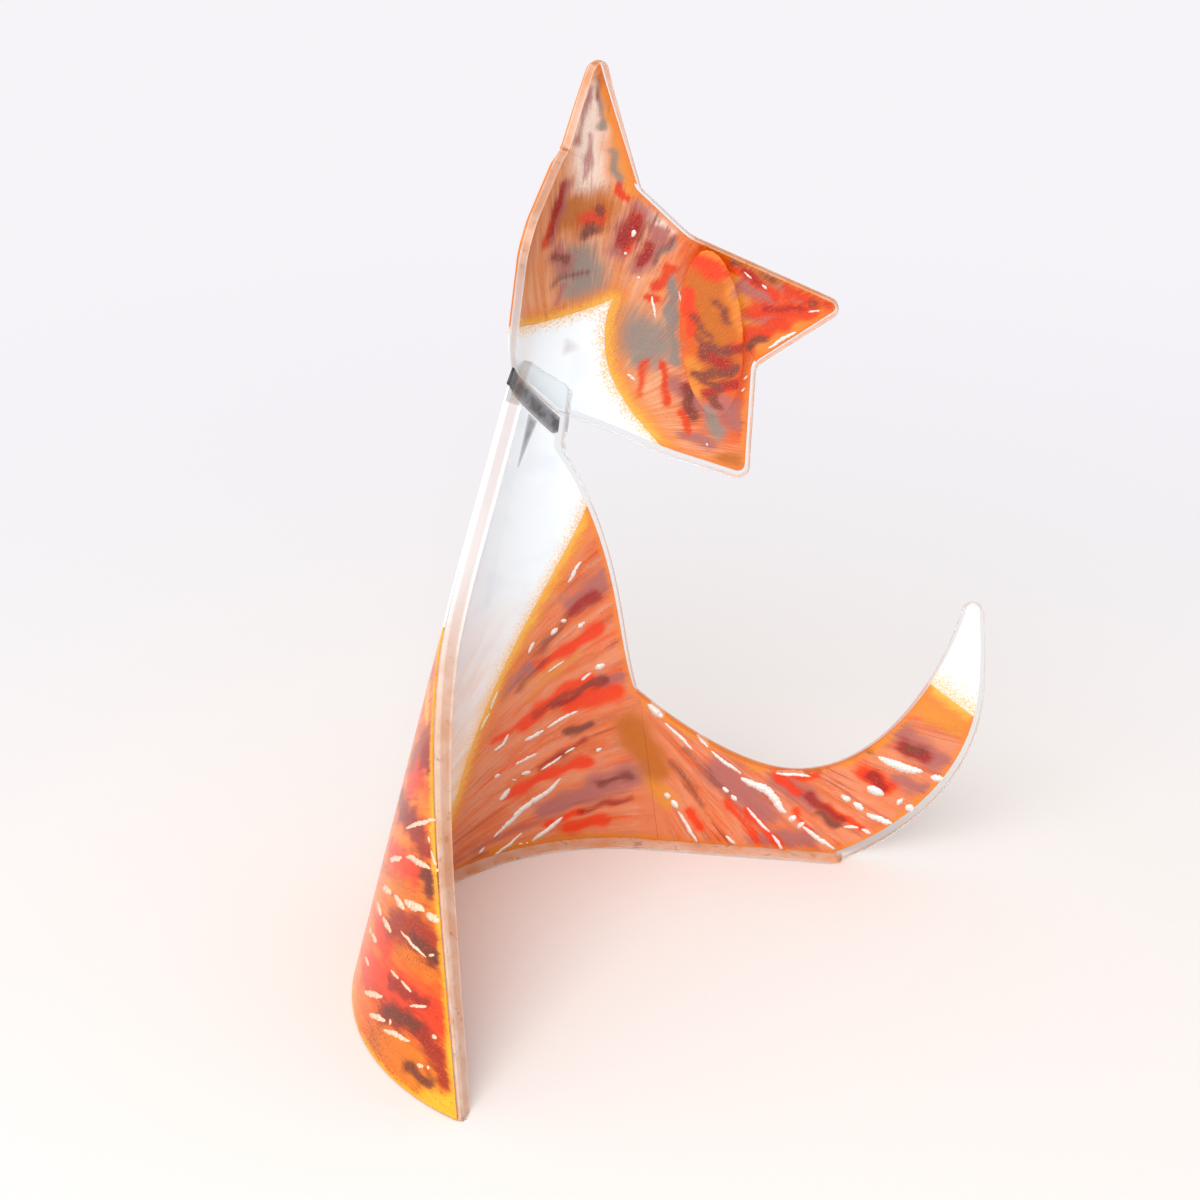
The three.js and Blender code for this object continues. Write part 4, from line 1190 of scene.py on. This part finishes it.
patch_strokes = {
    "rust": [(40, (9, 46), (45, 14))],
    "ember": [(3.4, (8, 42), (16, 44)), (1.6, (41, 21), (42, 29)), (2.2, (14, 34), (23, 27))],
    "honey": [(8.0, (16, 39), (36, 24))],
    "amber": [(3.8, (19, 45), (33, 37)), (2.7, (29, 21), (37, 14))],
    "umber": [(1.6, (29, 27), (34, 30)), (1.5, (32, 18), (37, 24), (39, 28)),
              (0.9, (21, 38), (27, 36)), (1.2, (34, 19), (40, 20)), (0.9, (25, 27), (31, 24)),
              (0.8, (20, 30), (27, 29))],
    "wine": [(2.2, (34, 30), (37, 38)), (3.0, (30, 25), (37, 26)), (1.8, (38, 16), (41, 24))]}
print("head strokes:", {kind: len(lines) for kind, lines in head_strokes.items()})

# %% Face and ear fields
FACE_BACK = HEAD_FRONT + 0.1
FACE = dict(low=FACE_BACK, high=FACE_BACK + 0.5, edge_round=0.12, turn=HEAD_CURL, steps=FINE_STEPS)
FACE_MIDDLE = FACE_BACK + 0.25
FACE_FAN = (-20, 130)
EAR_RIM, EAR_SEAM = 0.9, 0.02
FACE_STRENGTH = (1.05, 1.0)
head_layer, ear_layer = grown(head_outline, -COLOUR_RIM), grown(head_outline, -EAR_RIM)
FACE_PEACH = dict(
    PEACH, base=tint(238, 172, 132), deep=tint(233, 148, 100), milk=tint(246, 224, 210),
    ash=tint(140, 131, 124), rust=tint(224, 84, 34), ember=tint(224, 60, 30),
    streaks=0.6, drags=0.3)

face_powder = powder_finish("face_powder", FACE_PEACH, FACE_FAN, FACE_MIDDLE, FACE_STRENGTH,
                            FRONT_STRENGTH)
around_face = [grown(muzzle, SEAM), grown(left_ear, EAR_SEAM), grown(right_ear, EAR_SEAM)]
for name, node, slot, layer, inside, outside in (
        ("face_powder", "face_colour", "amber_glass", head_layer, [], around_face),
        ("left_ear_powder", "left_ear_colour", "orange_glass", ear_layer, [left_ear], []),
        ("right_ear_powder", "right_ear_colour", "rust_glass", ear_layer, [right_ear], [])):
    field = lay(name, node, slot, face_powder, [layer] + inside, outside, **FACE)
    brush(field, head_strokes, [muzzle_seam], layer, head=True)

# %% Muzzle, patch and spots
SPOT = dict(low=FACE_BACK - 0.03, high=FACE_BACK + 0.7, edge_round=0.2, turn=HEAD_CURL,
            steps=FINE_STEPS)
PATCH = dict(low=-0.5, high=0.0, edge_round=0.12, turn=HEAD_CURL, steps=FINE_STEPS)

muzzle_field = lay("muzzle_opal", "muzzle_white", "white_glass", white_opal,
                   [head_layer, muzzle], [], **FACE)
brush(muzzle_field, {}, [muzzle_seam], head_layer)
patch = lay("ear_patch_powder", "right_ear_patch", "rust_glass", face_powder, [ear_patch], [],
            **PATCH)
both_strokes = {kind: head_strokes[kind] + patch_strokes.get(kind, []) for kind in STROKE_KINDS}
brush(patch, both_strokes, [muzzle_seam], head_layer, head=True)
patch.visible_shadow = False
for node, outline, finish in (
        ("left_eye", left_eye, face_powder), ("right_eye", right_eye, face_powder),
        ("nose", nose, nose_smoke), ("left_whisker_mark", left_whisker, face_powder),
        ("right_whisker_mark", right_whisker, face_powder)):
    spot = lay(node + "_spot", node, "smoke_glass", finish, [outline], [], **SPOT)
    painted = finish == face_powder
    brush(spot, head_strokes if painted else {}, [muzzle_seam],
          head_layer if painted else outline, head=True)

# %% [markdown]
# ## Painted reflections along the edges
#
# Seen on edge, the sheets aren't clear: the powder's colour is mirrored along inside the glass.
# Narrow bands just inside the rim carry that as painted reflection: peach in the free edge of the
# left haunch and of the left cheek, white in the chest's edge, and in the ground edge the orange
# that it mirrors. They are cut and curled like any other piece, and a little over half of the
# light passes through them.

# %% Edge reflection finish
REFLECTION_ALPHA = 0.45


def edge_reflection_finish(name, reflected_hue):
    finish = Finish(name)
    # Painted reflection: the powder's colour as the glass edge mirrors it, with darker marks, fading
    # to the white that the chest's edge mirrors.
    place = flat_place(finish)
    grain, cloud = noise(finish, place, 1500, 3.0), noise(finish, place, 160, 3.0)
    marks = eased(finish, noise(finish, place, 330, 2.0), 0.6, 0.7)
    colour = mixed(finish, eased(finish, cloud, 0.35, 0.65), reflected_hue, tint(249, 196, 160))
    colour = mixed(finish, 0.4 * marks, colour, tint(168, 92, 66))
    colour = mixed(finish, stored(finish, "fade"), tint(246, 249, 253), colour)
    return glossy(finish, colour, grain, 0.1, 0.1, REFLECTION_ALPHA)


peach_edge_reflection = edge_reflection_finish("peach_edge_reflection", tint(255, 222, 200))
orange_edge_reflection = edge_reflection_finish("orange_edge_reflection", tint(246, 168, 104))
print(peach_edge_reflection.name, "lets", 1 - REFLECTION_ALPHA, "of the light through")

# %% Edge reflection bands
REFLECTION_BAND = dict(edge_round=0.05, steps=PLAIN_STEPS)
REFLECTION_BACK, FREE_FRONT, GROUND_FRONT = -4.6, -0.05, -0.1
HEAD_REFLECTION_BAND = dict(low=HEAD_BACK + 0.3, high=HEAD_FRONT - 0.1, turn=HEAD_CURL, **REFLECTION_BAND)
FREE_IN, FREE_OUT = -1.4, -0.6
GROUND_IN, GROUND_OUT = -0.9, -0.3
CHEEK_IN, CHEEK_OUT = -0.7, -0.3
BELOW_COLLAR, NECK_REACH, TOE_REACH, EAR_ROOT_REACH = 4, 8, 20, 4
FADE_TOP, FADE_FOOT = 112, 92
CHIN_FADE, CROWN_MIDDLE, CROWN_FADE = (-2, 12), -5, (7, 13)

body_cut, body_floor = body_outline(GRIND), grown(body_outline(0), GROUND_OUT)
neck_drop = COLLAR_DROP + BELOW_COLLAR
free_edge = tidy([below_chin(-FAR, neck_drop), below_chin(TAB_LEFT.x + NECK_REACH, neck_drop),
                  Vector((SPIKE.x + TOE_REACH, BELOW)), Vector((-FAR, BELOW))])
body_reflection_band = lay("free_edge_reflection", None, "clear_glass", peach_edge_reflection,
                 [grown(body_cut, FREE_OUT), body_floor, free_edge], [grown(body_cut, FREE_IN)],
                 low=REFLECTION_BACK, high=FREE_FRONT, turn=BODY_CURL, **REFLECTION_BAND)
ground_flat(body_reflection_band)
paint(body_reflection_band, {"fade": ramp(flat_places(body_reflection_band)[:, 1], FADE_TOP, FADE_FOOT)})
floor_reflection_band = lay("ground_edge_reflection", None, "clear_glass", orange_edge_reflection, [body_floor],
                  [body_outline(GROUND_IN)], low=REFLECTION_BACK, high=GROUND_FRONT, turn=BODY_CURL,
                  **REFLECTION_BAND)
ground_flat(floor_reflection_band)
paint(floor_reflection_band, {"fade": np.ones(len(floor_reflection_band.data.vertices))})

left_cheek = tidy([on_head(-FAR, FAR), on_head(-FAR, -FAR), on_head(*LEFT_CHIN),
                   on_head(LEFT_ROOT.x + EAR_ROOT_REACH, LEFT_ROOT.y), on_head(*LEFT_EAR)])
for name, finish, inside, outside in (
        ("cheek_edge_reflection", peach_edge_reflection, [left_cheek], []),
        ("ear_edge_reflection", orange_edge_reflection, [], [grown(left_cheek, SEAM)])):
    head_reflection_band = lay(name, None, "clear_glass", finish, [grown(head_outline, CHEEK_OUT)] + inside,
                     [grown(head_outline, CHEEK_IN)] + outside, **HEAD_REFLECTION_BAND)
    across, rise = head_places(flat_places(head_reflection_band)).T
    paint(head_reflection_band, {"fade": ramp(rise, *CHIN_FADE)
                       * ramp(np.abs(across - CROWN_MIDDLE), *CROWN_FADE)})

# %% [markdown]
# ## Scraped lines
#
# Before firing, a point was dragged through the powder, and the furrows were left as clear glass.
# Their white is painted light, for the bright light that shines through the clear furrows. Such
# lines waver, break off and vary in width. A Geometry Nodes tree draws them on the flat sheet: it
# drops points by noise, turns what is left into curves, tapers each one and gives it the layer's
# thickness. The result is curled by the same tree as the field that it lies in.

# %% Scrape tree
WEAR_SCALE, SWERVE_SCALE, WIDTH_SCALE = 420.0, 260.0, 1500.0
WIDTH_SPREAD, WELD = 2.4, 2e-6


def scrape_tree():
    build = Tree("scraped_lines", {
        "Thickness": "Float", "Gap": "Float", "Wobble": "Float", "Seed": "Float",
        "Finish": "Material"})
    given, node, number, vector = build.given, build.node, build.number, build.vector

    def wander(scale, output):
        return node("ShaderNodeTexNoise", {"noise_dimensions": "4D"},
                    {"W": given["Seed"], "Scale": scale, "Detail": 2.0}, output)

    worn = number("LESS_THAN", wander(WEAR_SCALE, "Fac"), given["Gap"])
    left = node("GeometryNodeDeleteGeometry", {"domain": "POINT"},
                {"Geometry": given["Geometry"], "Selection": worn})
    lines = node("GeometryNodeMeshToCurve", None, {"Mesh": left})
    off = vector("SUBTRACT", {0: wander(SWERVE_SCALE, "Color"), 1: (0.5, 0.5, 0.5)})
    level = vector("MULTIPLY", {0: off, 1: (1, 1, 0)})
    aside = vector("SCALE", {0: level, "Scale": given["Wobble"]})
    wavy = node("GeometryNodeSetPosition", None, {"Geometry": lines, "Offset": aside})
    flat = node("GeometryNodeSetCurveNormal", {"mode": "Z_UP"}, {"Curve": wavy})
    along = node("GeometryNodeSplineParameter", None, None, "Factor")
    taper = number("SQRT", number("MULTIPLY", along, number("SUBTRACT", 1.0, along)))
    half = node("GeometryNodeInputNamedAttribute", {"data_type": "FLOAT"}, {"Name": "half"})
    uneven = number("MULTIPLY", wander(WIDTH_SCALE, "Fac"), WIDTH_SPREAD)
    radius = number("MULTIPLY", number("MULTIPLY", half, taper), number("MULTIPLY", uneven, 2.0))
    profile = node("GeometryNodeCurvePrimitiveLine", None, {"Start": (-1, 0, 0), "End": (1, 0, 0)})
    ribbon = node("GeometryNodeCurveToMesh", None, {
        "Curve": flat, "Profile Curve": profile, "Scale": radius})
    raised = node("GeometryNodeExtrudeMesh", {"mode": "FACES"}, {
        "Mesh": ribbon, "Offset": (0, 0, 1), "Offset Scale": given["Thickness"],
        "Individual": False})
    both = node("GeometryNodeJoinGeometry", None, {0: [raised, ribbon]})
    return build.ended(node("GeometryNodeMergeByDistance", None,
                            {"Geometry": both, "Distance": WELD}))


SCRAPES = scrape_tree()
print("scrape tree has", len(SCRAPES.nodes), "nodes")

# %% Scraped lines of each field
SCRAPE_STEP = 0.4
SCRAPE_BACK, SCRAPE_DEPTH = 0.03, 0.64
SCRAPE_GAP, SCRAPE_WOBBLE = 0.38, 1.4
STAIN = 0.8


def scrape_finish(name, colour):
    # Painted light: the white stands for the light that shines through the clear furrows; the peach
    # stain is real powder.
    finish = Finish(name)
    grain = noise(finish, flat_place(finish), 1900, 3.0)
    stained = mixed(finish, STAIN * eased(finish, grain, 0.46, 0.7), colour, tint(238, 160, 108))
    return glossy(finish, stained, grain, 0.12, 0.1)


scrape_white, scrape_peach = (scrape_finish(name, colour) for name, colour in (
    ("scrape_white", tint(250, 246, 242)), ("scrape_peach", tint(248, 212, 182))))
flank_scrapes = [
    (1.0, (-35, 37), (-29, 39)), (0.8, (-28, 40), (-24, 42), (-19, 44)),
    (0.8, (-38, 30), (-31, 32)), (0.8, (-45, 28), (-41, 28)), (0.9, (-36, 26), (-33, 26)),
    (0.6, (-30, 26), (-28, 27), (-20, 32)), (1.4, (-43, 19), (-40, 22), (-38, 25)),
    (1.4, (-45, 7), (-39, 11), (-36, 14), (-32, 16), (-28, 18), (-24, 22)),
    (0.8, (-46, 0), (-40, 3), (-36, 6)), (1.2, (-33, 2), (-27, 6), (-22, 10)),
    (0.8, (-45, 37), (-42, 38), (-40, 41)), (1.5, (-14, 57), (-11, 59)),
    (0.8, (-18, 54), (-15, 56)), (0.8, (-50, 3), (-48, 5)), (0.8, (-14, 30), (-12, 31)),
    (0.6, (-50, 46), (-47, 50), (-44, 57)), (0.6, (-38, 2), (-34, 2)), (1.2, (-27, 70), (-25, 72)),
    (1.0, (-24, 74), (-22, 74)), (0.8, (-19, 71), (-17, 73)), (0.9, (-34, 66), (-32, 69)),
    (0.8, (-22, 86), (-18, 92)), (0.4, (-28, 58), (-23, 61))]
tail_scrapes = [
    (1.8, (1, 46), (6, 41)), (0.8, (6, 40), (10, 36), (14, 32)),
    (0.9, (15, 37), (19, 32), (28, 25)), (2.2, (28, 24), (31, 22), (36, 20), (40, 14), (46, 9)),
    (1.2, (46, 9), (51, 5), (56, 2)), (1.0, (22, 21), (27, 16)),
    (0.8, (30, 14), (33, 10), (37, 6), (41, 0)), (1.4, (6, 17), (10, 12)),
    (0.9, (10, 11), (14, 4), (16, 1)), (0.8, (24, 4), (27, 1)),
    (1.5, (56, 21), (62, 17), (66, 14), (72, 12)), (2.1, (64, 24), (70, 21)),
    (1.8, (73, 20), (78, 17)), (2.1, (67, 34), (74, 31), (80, 30)), (1.7, (81, 29), (86, 28)),
    (0.8, (58, 10), (62, 10), (66, 8)), (0.8, (38, 26), (48, 26))]
wing_scrapes = [
    (1.1, (-118, 61), (-128, 74)), (1.3, (-116, 47), (-127, 59), (-137, 65)),
    (1.6, (-118, 39), (-128, 46), (-136, 49)), (1.8, (-134, 50), (-142, 55), (-149, 58)),
    (1.4, (-119, 34), (-127, 37), (-136, 40)), (1.3, (-121, 26), (-131, 31)),
    (0.7, (-139, 44), (-152, 48), (-154, 51)), (0.7, (-144, 34), (-149, 36), (-155, 38)),
    (1.3, (-137, 18), (-147, 27)), (0.7, (-157, 35), (-162, 40)), (1.3, (-145, 18), (-155, 26)),
    (1.1, (-154, 22), (-164, 29)), (0.9, (-170, 27), (-174, 30)), (0.9, (-168, 36), (-170, 37)),
    (0.7, (-129, 69), (-139, 66)), (0.9, (-127, 21), (-133, 24))]
face_scrapes = [
    (0.9, (-4, 29), (-4, 30)), (0.9, (-6, 34), (-7, 36)), (0.6, (3, 26), (3, 27)),
    (0.5, (9, 25), (14, 21)), (0.4, (12, 32), (18, 28), (22, 24)), (0.5, (27, 49), (29, 49)),
    (0.4, (21, 48), (24, 48)), (0.6, (20, 4), (23, 4)), (0.5, (48, 5), (50, 4)),
    (0.4, (41, 52), (43, 55)), (0.8, (41, 37), (43, 46)), (0.4, (42, 21), (43, 27)),
    (0.4, (45, 22), (45, 24))]


def scrape(name, lines, back, turn, seed, finish):
    """White lines through one field, from just behind it to just before it."""
    points, edges, halves = [], [], []
    for width, *line in lines:
        for first, second in zip(line, line[1:]):
            first, second = Vector(first), Vector(second)
            count = max(1, round((second - first).length / SCRAPE_STEP))
            start = 0 if first == Vector(line[0]) else 1
            for step in range(start, count + 1):
                if step:
                    edges.append((len(points) - 1, len(points)))
                points.append((*(first.lerp(second, step / count) * MM), back * MM))
                halves.append(width / 2 * MM)
    mesh = bpy.data.meshes.new(name)
    mesh.from_pydata(points, edges, [])
    piece = bpy.data.objects.new(name, mesh)
    bpy.context.scene.collection.objects.link(piece)
    paint(piece, {"half": halves})
    run_tree(piece, SCRAPES, {"Thickness": SCRAPE_DEPTH * MM, "Gap": SCRAPE_GAP,
                              "Wobble": SCRAPE_WOBBLE * MM, "Seed": seed, "Finish": finish})
    curl(piece, finish, turn)
    closed = bmesh.new()
    closed.from_mesh(piece.data)
    bmesh.ops.recalc_face_normals(closed, faces=closed.faces[:])
    closed.to_mesh(piece.data)
    closed.free()
    pieces.append((piece, None, "white_glass"))


face_lines = [(width, *(on_head(*place) for place in line)) for width, *line in face_scrapes]
for seed, (name, lines, back, turn, finish) in enumerate((
        ("flank_scrapes", flank_scrapes, SCRAPE_BACK, BODY_CURL, scrape_white),
        ("tail_scrapes", tail_scrapes, SCRAPE_BACK, BODY_CURL, scrape_white),
        ("wing_scrapes", wing_scrapes, SCRAPE_BACK, BODY_CURL, scrape_peach),
        ("face_scrapes", face_lines, HEAD_FRONT + SCRAPE_BACK, HEAD_CURL, scrape_white)), 1):
    scrape(name, lines, back, turn, float(seed), finish)

# %% [markdown]
# ## Stage and light
#
# The photograph was taken on white paper in an evenly lit room. One broad lamp from above the
# camera lights the hollow side of the bend, and an even world fills the rest. Near the cat the
# paper carries a painted warm glow for the coloured light that the glass throws on it, and it is
# cool farther out. Where it is looked at from afar, and past its edge, it shows as plain paper
# white, without any more light on the cat.

# %% Floor
FLOOR_HALF = 6
PAINTED_GLOW_REACH, COOL_REACH = 0.08, 0.45
PLAIN_FROM, PLAIN_TO = 0.08, 0.6
PAPER_WHITE, PAPER_PAINTED_GLOW, PAPER_COOL = tint(246, 244, 248), tint(236, 230, 226), tint(234, 232, 236)
PAPER_SCALE = 900


def shown(finish):
    """One where the background is looked at, also in glass, and nought where it gives light."""
    camera, mirrored, through = finish.node("ShaderNodeLightPath", None, None, (
        "Is Camera Ray", "Is Glossy Ray", "Is Transmission Ray"))
    return camera.sum("MAXIMUM", camera, camera.sum("MAXIMUM", mirrored, through))


def paper_finish():
    finish = Finish("floor_paper")
    place = finish.node("ShaderNodeTexCoord", None, None, "Object")
    reach = finish.node("ShaderNodeVectorMath", {"operation": "LENGTH"}, {0: place}, "Value")
    fibre = noise(finish, place, PAPER_SCALE)
    # Painted glow: the paper's colour turns warm near the cat for the coloured light from the glass.
    colour = mixed(finish, eased(finish, reach, PAINTED_GLOW_REACH, COOL_REACH), PAPER_PAINTED_GLOW, PAPER_COOL)
    bump = finish.node("ShaderNodeBump", None,
                       {"Strength": 0.05, "Distance": 0.0005, "Height": fibre}, "Normal")
    shader = finish.node("ShaderNodeBsdfPrincipled", None, {
        "Base Color": colour, "Roughness": 0.7 + 0.2 * fibre, "Specular IOR Level": 0.2,
        "Normal": bump})
    plain = finish.node("ShaderNodeEmission", None, {"Color": PAPER_WHITE})
    return finish.surface(finish.node("ShaderNodeMixShader", None, {
        0: shown(finish) * eased(finish, reach, PLAIN_FROM, PLAIN_TO), 1: shader, 2: plain}))


floor_mesh = bpy.data.meshes.new("floor")
floor_mesh.from_pydata([(x * FLOOR_HALF, y * FLOOR_HALF, 0)
                        for x, y in ((-1, -1), (1, -1), (1, 1), (-1, 1))], [], [(0, 1, 2, 3)])
floor = bpy.data.objects.new("floor", floor_mesh)
floor_mesh.materials.append(paper_finish())
bpy.context.scene.collection.objects.link(floor)
print("floor is", 2 * FLOOR_HALF, "m wide")

# %% Light
ROOM_LIGHT = 0.75
LAMP_SIZE, LAMP_POWER, LAMP_PLACE = 1.4, 23, Vector((-0.3, -1.2, 1.15))


class Room(Finish):
    """The world around the floor, built as a material is."""

    def __init__(self, name):
        self.world = bpy.data.worlds.new(name)
        self.world.use_nodes = True
        self.tree = self.world.node_tree
        self.tree.nodes.clear()


room = Room("studio")
lit = room.node("ShaderNodeBackground", None, {"Color": (1, 1, 1, 1), "Strength": ROOM_LIGHT})
paper = room.node("ShaderNodeBackground", None, {"Color": PAPER_WHITE, "Strength": 1})
room.node("ShaderNodeOutputWorld", None, {
    "Surface": room.node("ShaderNodeMixShader", None, {0: shown(room), 1: lit, 2: paper})})
bpy.context.scene.world = room.world
lamp_data = bpy.data.lights.new("softbox", "AREA")
lamp_data.size = LAMP_SIZE
lamp_data.energy = LAMP_POWER
lamp = bpy.data.objects.new("softbox", lamp_data)
lamp.location = LAMP_PLACE
lamp.rotation_euler = (-lamp.location).to_track_quat("-Z", "Y").to_euler()
bpy.context.scene.collection.objects.link(lamp)
print("softbox stands %.2f m away" % lamp.location.length)

# %% [markdown]
# ## Handing over
#
# Nothing on the cat moves, so every piece rides on the one body of the frame. Each field takes the
# place of its plain solid. The scraped lines and the painted edge reflections lie in the glass and
# have no solid of their own.

# %% Riding
for piece, node, slot in pieces:
    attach(piece, "root")
    if node:
        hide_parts(node)
